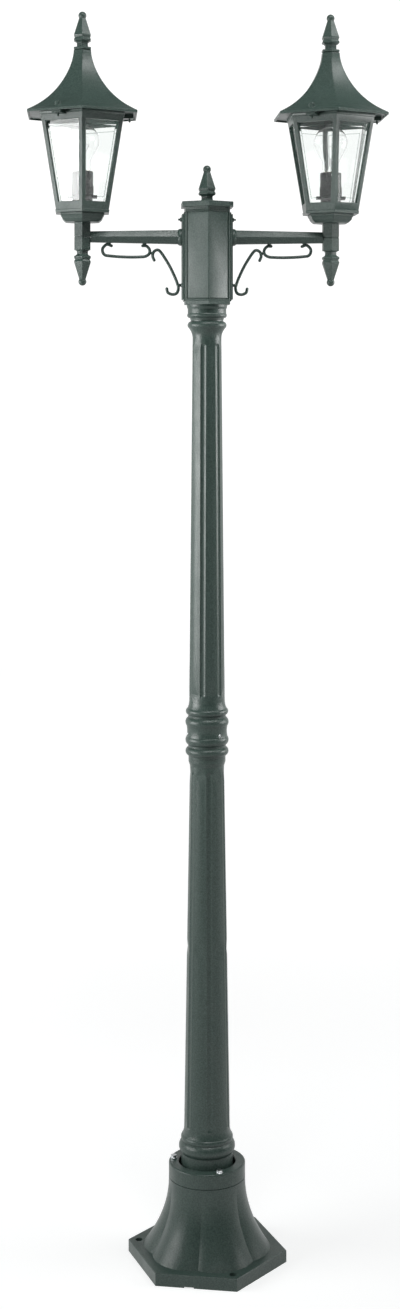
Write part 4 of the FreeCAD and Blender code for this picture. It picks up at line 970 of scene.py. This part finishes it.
@dataclass
class Arm:
    """One arm with its plate, scrolls, column and pendant."""

    side: Side
    reach: float = 225.0
    axis: float = 1844.0
    # Places of the welds as (distance from the post, level): two under the arm, one on the plate
    arm_welds: tuple[tuple[float, float], ...] = ((176.96, 1833.5), (113.06, 1832.4))
    plate_weld: tuple[float, float] = (45.75, 1757.4)
    scroll_weld: tuple[float, float] = (100.84, 1815.2)
    # A bead round a rod's end, from its wide side up, and the lump of weld between the scrolls
    weld_bead: Outline = ((2.7, 0), (4.3, 0), (4.0, 0.5), (3.4, 1.0), (2.7, 1.5))
    weld_lump: tuple[float, float, float] = (1.5, 2.1, 2.7)
    scroll_sharp: float = 50.0
    # The plate's screw lies along its axis, counted from the post's axis
    plate_thread: Thread = Thread(2.0, 0.7, 0.35, 1.3, 0.55)
    plate_screw_level: float = 1876.0
    plate_screw_end: float = 33.25
    plate_face: float = 45.75
    plate_screw_head: Outline = (
        (3.9, 45.75), (3.9, 47.6), *arc((1.9, 47.35), 2, 8, 90, 6), (1.8, 49.8), (1.7, 50.6),
        (1.9, 51.1), *arc((0, 50.85), 1.9, 10, 90, 6))
    arm_nut: HexNut = HexNut(24.0, 30.75, 36.75, 8.0)
    tie_nut: HexNut = HexNut(17.0, 1879.0, 1884.0, 5.0)
    tube_thread: Thread = Thread(5.0, 1.0, 0.5)
    tube_bore: float = 3.6
    tube_ends: tuple[float, float] = (1807.0, 1902.0)

    def build(self) -> None:
        """Dress the arm's castings and make its threaded parts."""
        for name in ("arm_plate", "arm", "column", "pendant_finial"):
            cast(self.side.prefix + name)
        self.build_scrolls()
        self.build_plate_screw()
        self.build_nuts()
        self.build_tube()

    @property
    def outward(self) -> Matrix:
        """Turn from upright to pointing away from the post on this side."""
        return swung(90 * self.side.value, "Y")

    def place(self, across: float, up: float) -> Matrix:
        """Give a move to a distance from the post and a level."""
        return moved(across * self.side.value, 0, up)

    def weld(self, place: Matrix) -> bpy.types.Object:
        """Make a weld bead round a rod's end, with its wide side at the place."""
        return settle(turned("weld", self.weld_bead, steps=24, closed=True), place)

    def build_scrolls(self) -> None:
        """Dress the scrolls and add the weld beads that hold them."""
        down = swung(180, "X")
        beads = [self.weld(self.place(*spot) @ down) for spot in self.arm_welds]
        cast(f"{self.side.prefix}c_scroll", 0, self.scroll_sharp, beads)
        bpy.ops.object.select_all(action="DESELECT")
        bpy.ops.mesh.primitive_ico_sphere_add(subdivisions=3, radius=mm(1), scale=self.weld_lump)
        contact = settle(bpy.context.object, self.place(*self.scroll_weld))
        plate = self.weld(self.place(*self.plate_weld) @ self.outward)
        cast(f"{self.side.prefix}s_scroll", 0, self.scroll_sharp, [contact, plate])

    def build_plate_screw(self) -> None:
        """Make the plate's screw: a threaded shank, a domed head and a knob, all coated over."""
        screw = turned(f"{self.side.prefix}plate_screw_coated", [
            *self.plate_thread.shank(self.plate_screw_end, self.plate_face),
            *self.plate_screw_head], steps=40)
        settle(screw, moved(0, 0, self.plate_screw_level) @ self.outward)
        finish_piece(screw, f"{self.side.prefix}plate_screw", COAT, "painted_casting")

    def build_nuts(self) -> None:
        """Make the nut inside the box and the nut on the tie tube."""
        nut = self.arm_nut.make(f"{self.side.prefix}arm_nut_turned")
        settle(nut, moved(0, 0, self.axis) @ self.outward)
        finish_piece(nut, f"{self.side.prefix}arm_nut")
        nut = self.tie_nut.make(f"{self.side.prefix}tie_nut_turned")
        finish_piece(settle(nut, self.place(self.reach, 0)), f"{self.side.prefix}tie_nut")

    def build_tube(self) -> None:
        """Make the tube that is threaded all along and ties the column to the lantern."""
        low, high = self.tube_ends
        tube = turned(f"{self.side.prefix}tie_tube_threaded", [
            (self.tube_bore, low), *self.tube_thread.outline(low, high),
            (self.tube_bore, high)], steps=40, closed=True)
        finish_piece(settle(tube, self.place(self.reach, 0)), f"{self.side.prefix}tie_tube")


@dataclass
class Lantern:
    """One lantern: its base, cage, panes, roof and spike."""

    side: Side
    reach: float = 225.0
    bevel_width: float = 4.2
    bevel_depth: float = 1.2
    # Length of a pane's end that the frame hides beyond what it hides at the sides
    hidden_ends: float = 7.5
    # The painted refraction line along the bevels' inner edges: its width, its thickness and its
    # longest strip
    line_width: float = 1.3
    line_thickness: float = 0.1
    longest_line: float = 190.0
    # Least cosines between a face's normal and the way out of the axis, or another's normal
    looks_out: float = 0.9
    looks_alike: float = 0.99
    # Largest angle in degrees between faces of a pane that are shaded as one
    smooth_angle: float = 2.0
    screw_circle: float = 85.0
    screw_turns: tuple[float, ...] = (0.0, 120.0, 240.0)
    screw_thread: Thread = Thread(1.9, 0.8, 0.35, 1.2, 0.5)
    screw_end: float = 2051.0
    screw_seat: float = 2077.0
    screw_top: float = 2079.8
    screw_head: Outline = ((4, 2077), (4.2, 2077.3), (4.2, 2077.9), (3.9, 2078.6), (3.2, 2079.25),
                           (2, 2079.68), (0, 2079.8))
    recess_length: float = 4.4
    recess_width: float = 0.9
    recess_height: float = 2.4

    def build(self) -> None:
        """Dress the lantern's castings and make its panes and screws."""
        for name in ("lantern_base", "cage", "roof", "roof_finial"):
            cast(self.side.prefix + name)
        self.build_panes()
        self.build_screws()

    def outer(self, face: bmesh.types.BMFace) -> bool:
        """Say whether a face of the panes looks away from the lantern's axis.

        Args:
            face: The face, with the panes at their place.

        Returns:
            True if it does.
        """
        axis = Vector((mm(self.reach) * self.side.value, 0, 0))
        away = (face.calc_center_median() - axis) * Vector((1, 1, 0))
        return face.normal.dot(away.normalized()) > self.looks_out

    def build_panes(self) -> None:
        """Grind a bevel round the outer face of each pane, and draw a painted refraction line along
        the bevel's inner edge.
        """
        node = f"{self.side.prefix}panes"
        panes = copy_of(node, f"{node}_bevelled", angle=1.0)
        with edit_mode(panes, "FACE"):
            mesh = bmesh.from_edit_mesh(panes.data)
            sides = [face.normal.copy() for face in mesh.faces if self.outer(face)]
            for normal in sides:
                pick_faces(panes, lambda face: (
                    self.outer(face) and face.normal.dot(normal) > self.looks_alike))
                bpy.ops.transform.translate(value=-normal * mm(self.bevel_depth))
            pick_faces(panes, self.outer)
            bpy.ops.mesh.inset(thickness=mm(self.bevel_width), depth=mm(self.bevel_depth),
                               use_individual=True)
            self.shorten(panes)
            bpy.ops.mesh.inset(thickness=mm(self.line_width), use_individual=True)
        work_on(panes)
        bpy.ops.object.shade_smooth_by_angle(angle=math.radians(self.smooth_angle))
        self.draw_lines(panes)
        finish_piece(panes, node)

    def shorten(self, panes: bpy.types.Object) -> None:
        """Move the ends of the selected faces inwards, because the frame hides more there.

        Args:
            panes: The panes in edit mode, with the faces inside their bevels selected.
        """
        mesh = bmesh.from_edit_mesh(panes.data)
        for face in [face for face in mesh.faces if face.select]:
            middle = face.calc_center_median().z
            for edge in list(face.edges):
                high, low = sorted(edge.verts, key=lambda vertex: -vertex.co.z)
                if low.co.z < middle < high.co.z:
                    step = (low.co - high.co).normalized() * mm(self.hidden_ends)
                    high.co += step
                    low.co -= step
        bmesh.update_edit_mesh(panes.data)

    def draw_lines(self, panes: bpy.types.Object) -> None:
        """Make thin strips along the inner edges of the panes' bevels, tinted pale grey: a painted
        line that stands in for the bevel's refraction.

        Args:
            panes: The bevelled panes.
        """
        lines = own_copy(panes, f"{self.side.prefix}panes_arris")
        largest = mm(self.line_width) * mm(self.longest_line)
        with edit_mode(lines, "FACE"):
            pick_faces(lines, lambda face: not (self.outer(face) and face.calc_area() < largest))
            bpy.ops.mesh.delete(type="FACE")
        apply_modifier(lines, "SOLIDIFY", thickness=mm(self.line_thickness), offset=0.5)
        # The strips' pale grey glass is a painted line in place of the bevel's refraction
        finish_piece(tidy_mesh(lines), f"{self.side.prefix}panes", PAINTED_BEVEL_LINE)

    def build_screws(self) -> None:
        """Make three threaded screws with domed heads and cross recesses."""
        screw = turned(f"{self.side.prefix}roof_screws_turned", [
            *self.screw_thread.shank(self.screw_end, self.screw_seat), *self.screw_head],
            steps=40)
        long, wide, high = self.recess_length, self.recess_width, self.recess_height
        for size in ((long, wide, high), (wide, long, high)):
            carve(screw, bar(size, self.screw_top))
        tidy_mesh(screw, angle=30)
        middle = moved(self.reach * self.side.value, 0, 0)
        places = [middle @ swung(turn) @ moved(self.screw_circle, 0, 0)
                  for turn in self.screw_turns]
        finish_piece(copies(screw, places), f"{self.side.prefix}roof_screws")


@dataclass
class Lamp:
    """One lamp with its holder and bracket."""

    side: Side
    reach: float = 225.0
    bracket_edge: float = 0.4
    thread_pitch: float = 3.63
    holder: Outline = (
        (5, 1919), (18.7, 1919), (19.5, 1919.8), (19.5, 1921.5), (19.5, 1934), (19.5, 1935.8),
        (18.7, 1937), (18.7, 1960.4), *arc((17.1, 1960.4), 1.6, 15, 90, 5), (14.3, 1962),
        (14.3, 1936), (5, 1936))
    # Grip grooves in every second facet of the holder, and the part of its wall that has them
    grip_steps: int = 72
    grip_radius: float = 19.3
    grip_levels: tuple[float, float] = (1922.0, 1933.5)
    groove_edge: float = 0.25
    groove_depth: float = 0.5
    shell_levels: tuple[float, float] = (1936.0, 1960.5)
    shell_radius: float = 13.85
    shell_wave: float = 0.3
    shell_wall: float = 0.35
    shell_points: int = 56
    cap: Outline = (
        (0, 1936.4), *arc((0, 1934.4), 2, 80, 30, 3), (4.2, 1937.4), (4.5, 1938), (9.9, 1938.3),
        (11.4, 1940), (12.15, 1941.4), (12.15, 1959.6), (12.9, 1960.6), (13.2, 1961.6),
        (13.2, 1963), (12.6, 1963), (12.4, 1961.8), (0, 1961.8))
    cap_root: float = 12.2
    cap_crest: float = 13.1
    cap_thread_level: float = 1941.4
    cap_turns: int = 4
    wave_points: int = 12
    insulator: Outline = ((4.4, 1937.7), (4.9, 1937.4), (8.6, 1937.9), (10.2, 1938.4),
                          (9.6, 1938.8), (4.4, 1938.8))
    globe_level: float = 2017.0
    globe_radius: float = 30.0
    glass_wall: float = 0.9
    neck_radius: float = 14.5
    waist_radius: float = 20.0
    waist_level: float = 1976.74
    # The envelope's rim as (distance inside the neck, level), up the outside and down the inside
    rim_outside: Outline = ((1.6, 1963.2), (0.5, 1964.4), (0, 1967))
    rim_inside: Outline = ((0, 1967), (0.5, 1964.6), (1.6, 1963.2))
    stem: Outline = ((0, 1963), (6.5, 1963), (6.2, 1964), (4.6, 1967), (3.4, 1971), (3, 1976),
                     (3, 1983), (2.5, 1986), (1.6, 1988.4), (0, 1989))
    lead: Outline = ((1.2, 1974), (1.4, 1987), (2.2, 1991), (9.6, 2006.5), (11, 2009.2),
                     (11, 2010.3))
    lead_radius: float = 0.4
    filament_level: float = 2010.3
    filament_pitch: float = 0.8
    filament_turns: int = 27
    filament_ring: float = 0.42
    filament_radius: float = 0.14
    filament_sides: int = 6

    def build(self) -> None:
        """Make the lamp and its holder, and dress the bracket."""
        cast(f"{self.side.prefix}holder_bracket", self.bracket_edge)
        self.build_holder()
        self.build_shell()
        self.build_cap()
        self.build_glass()
        self.build_mount()

    def settled(self, piece: bpy.types.Object) -> bpy.types.Object:
        """Move a piece from the Z axis to the lantern's axis."""
        return settle(piece, moved(self.reach * self.side.value, 0, 0))

    def grooved(self, face: bmesh.types.BMFace) -> bool:
        """Say whether a face of the holder becomes a grip groove.

        Args:
            face: The face, with the holder still on the Z axis.

        Returns:
            True if it does.
        """
        middle = face.calc_center_median()
        step = round(math.atan2(middle.y, middle.x) / FULL_TURN * self.grip_steps - 0.5)
        low, high = self.grip_levels
        around = math.hypot(middle.x, middle.y) > mm(self.grip_radius)
        return around and mm(low) < middle.z < mm(high) and step % 2 == 0

    def build_holder(self) -> None:
        """Make the moulded holder, with grip ribs round its lower part."""
        holder = turned(f"{self.side.prefix}lampholder_moulded", self.holder,
                        steps=self.grip_steps, closed=True)
        with edit_mode(holder, "FACE"):
            pick_faces(holder, self.grooved)
            bpy.ops.mesh.inset(thickness=mm(self.groove_edge), depth=-mm(self.groove_depth),
                               use_individual=True)
        finish_piece(self.settled(tidy_mesh(holder, angle=25)), f"{self.side.prefix}lampholder")

    def build_shell(self) -> None:
        """Make the thin brass shell, rolled to the lamp's thread."""
        low, high = self.shell_levels
        rises = [(high - low) * step / self.shell_points for step in range(self.shell_points + 1)]
        outer = [(self.shell_radius + self.shell_wave * math.sin(
            FULL_TURN * rise / self.thread_pitch), low + rise) for rise in rises]
        inner = [(radius - self.shell_wall, height) for radius, height in reversed(outer)]
        shell = turned(f"{self.side.prefix}holder_shell_rolled", outer + inner, closed=True)
        finish_piece(self.settled(tidy_mesh(shell, angle=50)), f"{self.side.prefix}holder_shell")

    def build_cap(self) -> None:
        """Make the lamp's screw cap with its thread wound as a helix, and the insulator in it."""
        node = f"{self.side.prefix}bulb_cap"
        core = turned(f"{node}_rolled", self.cap)
        height = self.cap_crest - self.cap_root
        wave = []
        for step in range(self.wave_points + 1):
            share = step / self.wave_points
            wave.append((self.cap_root + height * (0.5 - 0.5 * math.cos(FULL_TURN * share)),
                         self.cap_thread_level + self.thread_pitch * share))
        winding = coil("winding", wave, self.thread_pitch, self.cap_turns, steps=48)
        finish_piece(self.settled(tidy_mesh(join([core, winding]), angle=50)), node)
        insulator = turned(f"{node}_insulator", self.insulator, steps=48, closed=True)
        finish_piece(self.settled(insulator), node, VITRITE, "holder_phenolic")

    def build_glass(self) -> None:
        """Blow the pear-shaped envelope as one closed wall, open at the cap."""
        level, radius, wall = self.globe_level, self.globe_radius, self.glass_wall
        neck, sweep = self.neck_radius, self.waist_radius
        waist = (neck + sweep, self.waist_level)
        outside = [*((neck - inwards, height) for inwards, height in self.rim_outside),
                   *arc(waist, sweep, 180, 150, 6), *arc((0, level), radius, -30, 90, 30)[:-1],
                   (0, level + radius)]
        inside = [(0, level + radius - wall), *arc((0, level), radius - wall, 90, -30, 30)[1:],
                  *arc(waist, sweep + wall, 150, 180, 6),
                  *((neck - wall - inwards, height) for inwards, height in self.rim_inside)]
        glass = turned(f"{self.side.prefix}bulb_glass_blown", inside + outside, steps=96)
        finish_piece(self.settled(glass), f"{self.side.prefix}bulb_glass")

    def build_mount(self) -> None:
        """Make the glass stem with its pinch, and the leads and filament that it holds."""
        node = f"{self.side.prefix}bulb_mount"
        stem = turned(f"{node}_stem", self.stem, steps=40)
        finish_piece(self.settled(stem), node)
        leads = [wire("lead", [(across * way, 0, up) for across, up in self.lead],
                      self.lead_radius) for way in (-1, 1)]
        loop = arc((self.filament_ring, 0), self.filament_radius, 0, 360, self.filament_sides)
        filament = coil("filament", loop, self.filament_pitch, self.filament_turns, steps=12)
        half = self.filament_pitch * self.filament_turns / 2
        settle(filament, moved(-half, 0, self.filament_level) @ swung(90, "Y"))
        lit = join([*leads, filament])
        lit.name = f"{node}_filament"
        finish_piece(self.settled(lit), node, TUNGSTEN, "lamp_cap_metal")


@dataclass(frozen=True)
class Panel:
    """A soft light panel, hung at a place and turned to a point of the post."""

    name: str
    place: tuple[float, float, float]
    aim: tuple[float, float, float]
    size: tuple[float, float]
    # Power in watts, and spread in degrees
    power: float
    spread: float

    def hang(self) -> None:
        """Add the panel's light to the scene."""
        data = bpy.data.lights.new(self.name, "AREA")
        data.shape, data.energy, data.spread = "RECTANGLE", self.power, math.radians(self.spread)
        data.size, data.size_y = self.size
        lamp = bpy.data.objects.new(self.name, data)
        lamp.location = self.place
        way = Vector(self.aim) - Vector(self.place)
        lamp.rotation_euler = way.to_track_quat("-Z", "Y").to_euler()
        bpy.context.scene.collection.objects.link(lamp)


# Two low panels light the box and the shafts, a high one on the right lights the roofs' right
# faces, and one in front lights the tops of the arms
PANELS = (Panel("left_panel", (-2.5, -0.5, 1.4), (0, 0, 1.65), (2.0, 1.2), 27.0, 105.0),
          Panel("right_panel", (2.4, 0.1, 1.7), (0, 0, 1.75), (1.6, 1.2), 12.5, 90.0),
          Panel("high_panel", (1.85, -0.65, 3.8), (0, 0, 2.1), (1.3, 0.9), 6.0, 80.0),
          Panel("front_panel", (0.0, -1.7, 4.3), (0, 0, 1.85), (1.6, 0.9), 15.5, 90.0))


def white_rays(tree: bpy.types.NodeTree, kinds: tuple[str, ...]) -> bpy.types.NodeSocket:
    """Add nodes that give 1 for rays of any of some kinds.

    Args:
        tree: The node tree to add to.
        kinds: Names of the Light Path node's outputs.

    Returns:
        The socket that is 1 for those rays and 0 for all others.
    """
    path = add_node(tree, "ShaderNodeLightPath")
    seen = path.outputs[kinds[0]]
    for kind in kinds[1:]:
        seen = add_node(tree, "ShaderNodeMath", {0: seen, 1: path.outputs[kind]},
                        operation="MAXIMUM").outputs["Value"]
    return seen


@dataclass
class Studio:
    """A white cove, light panels and the camera of the photograph."""

    # The camera stands level at this height and distance, a little left of the front
    distance: float = 3.457
    height: float = 1.595
    swing: float = -3.5
    focal_pixels: float = 1910.0
    photo_size: tuple[int, int] = (400, 1309)
    axis_pixel: float = 207.0
    horizon_pixel: float = 375.0
    sensor: float = 36.0
    floor_size: float = 14.0
    floor_tone: str = "#c4c6c6"
    # Share of white that is seen on the floor before any light falls on it: at the post's foot,
    # where the panels light the floor too, and far away. The foot's shadow stays a little darker
    near_glow: float = 0.63
    far_glow: float = 0.92
    glow_reach: tuple[float, float] = (0.4, 3.0)
    # Brightness of the cove behind the post in its gloss, in front of it, and for diffuse light
    back_gloss: float = 1.0
    front_gloss: float = 0.05
    even_light: float = 0.14
    # Depth and height of a ray's direction between which the cove in the gloss grows and ends
    cove_depths: tuple[float, float] = (-0.2, 0.6)
    cove_heights: tuple[float, float] = (0.3, 0.6)
    # The backdrop is a little overexposed, so that it stays white through two panes
    backdrop: float = 1.12

    def build(self) -> None:
        """Make the cove, the lights, the world and the camera."""
        self.add_floor()
        self.add_world()
        for panel in PANELS:
            panel.hang()
        self.add_camera()
        bpy.context.scene.view_settings.view_transform = "Standard"

    def add_floor(self) -> None:
        """Add a floor that is white to the camera and in the coat's gloss, with a faint shadow."""
        bpy.ops.object.select_all(action="DESELECT")
        bpy.ops.mesh.primitive_plane_add(size=self.floor_size)
        floor = bpy.context.object
        floor.name = "floor"
        material = bpy.data.materials.new("white_studio_floor")
        material.use_nodes = True
        tree = material.node_tree
        tree.nodes.clear()
        matt = add_node(tree, "ShaderNodeBsdfDiffuse", {"Color": linear(self.floor_tone)})
        distance = add_node(tree, "ShaderNodeVectorMath", {
            0: add_node(tree, "ShaderNodeTexCoord").outputs["Object"]}, operation="LENGTH")
        share = add_node(tree, "ShaderNodeMapRange", {
            "Value": distance.outputs["Value"], "From Min": self.glow_reach[0],
            "From Max": self.glow_reach[1], "To Min": self.near_glow, "To Max": self.far_glow})
        strength = add_node(tree, "ShaderNodeMath", {
            0: white_rays(tree, ("Is Camera Ray", "Is Glossy Ray", "Is Transmission Ray")),
            1: share.outputs["Result"]}, operation="MULTIPLY")
        glow = add_node(tree, "ShaderNodeEmission", {"Color": linear(WHITE),
                                                     "Strength": strength.outputs["Value"]})
        both = add_node(tree, "ShaderNodeAddShader", {0: matt.outputs["BSDF"],
                                                      1: glow.outputs["Emission"]})
        add_node(tree, "ShaderNodeOutputMaterial", {"Surface": both.outputs["Shader"]})
        floor.data.materials.append(material)

    def add_world(self) -> None:
        """Show white behind the post, and in its gloss a cove, bright behind and dim in front."""
        world = bpy.data.worlds.new("white_cove")
        bpy.context.scene.world = world
        world.use_nodes = True
        tree = world.node_tree
        tree.nodes.clear()
        path = add_node(tree, "ShaderNodeLightPath")
        ahead = add_node(tree, "ShaderNodeSeparateXYZ", {
            "Vector": add_node(tree, "ShaderNodeTexCoord").outputs["Generated"]})
        back = add_node(tree, "ShaderNodeMapRange", {
            "Value": ahead.outputs["Y"], "From Min": self.cove_depths[0],
            "From Max": self.cove_depths[1], "To Min": self.front_gloss,
            "To Max": self.back_gloss})
        # The cove's wall ends overhead, so that the low parts of the roofs stay dark
        cove = add_node(tree, "ShaderNodeMapRange", {
            "Value": ahead.outputs["Z"], "From Min": self.cove_heights[0],
            "From Max": self.cove_heights[1], "To Min": back.outputs["Result"],
            "To Max": self.front_gloss})
        strength = add_node(tree, "ShaderNodeMix", {
            "Factor": path.outputs["Is Glossy Ray"], "A": self.even_light,
            "B": cove.outputs["Result"]}).outputs["Result"]
        strength = add_node(tree, "ShaderNodeMix", {
            "Factor": white_rays(tree, ("Is Camera Ray", "Is Transmission Ray")), "A": strength,
            "B": self.backdrop}).outputs["Result"]
        sky = add_node(tree, "ShaderNodeBackground", {"Color": linear(WHITE),
                                                      "Strength": strength})
        add_node(tree, "ShaderNodeOutputWorld", {"Surface": sky.outputs["Background"]})

    def add_camera(self) -> None:
        """Place the camera as in the photograph: level, with the frame shifted down."""
        width, height = self.photo_size
        data = bpy.data.cameras.new("photo_camera")
        data.sensor_width = self.sensor
        data.lens = self.sensor * self.focal_pixels / height
        data.shift_x = (width / 2 - self.axis_pixel) / height
        data.shift_y = (self.horizon_pixel - height / 2) / height
        camera = bpy.data.objects.new("photo_camera", data)
        swing = math.radians(self.swing)
        camera.location = (self.distance * math.sin(swing), -self.distance * math.cos(swing),
                           self.height)
        camera.rotation_euler = (math.radians(90), 0, swing)
        bpy.context.scene.collection.objects.link(camera)
        bpy.context.scene.camera = camera


def main() -> None:
    """Build the studio and every part of the post, and report each piece."""
    Studio().build()
    Post().build()
    JunctionBox().build()
    for side in Side:
        Arm(side).build()
        Lantern(side).build()
        Lamp(side).build()


if __name__ == "__main__":
    main()
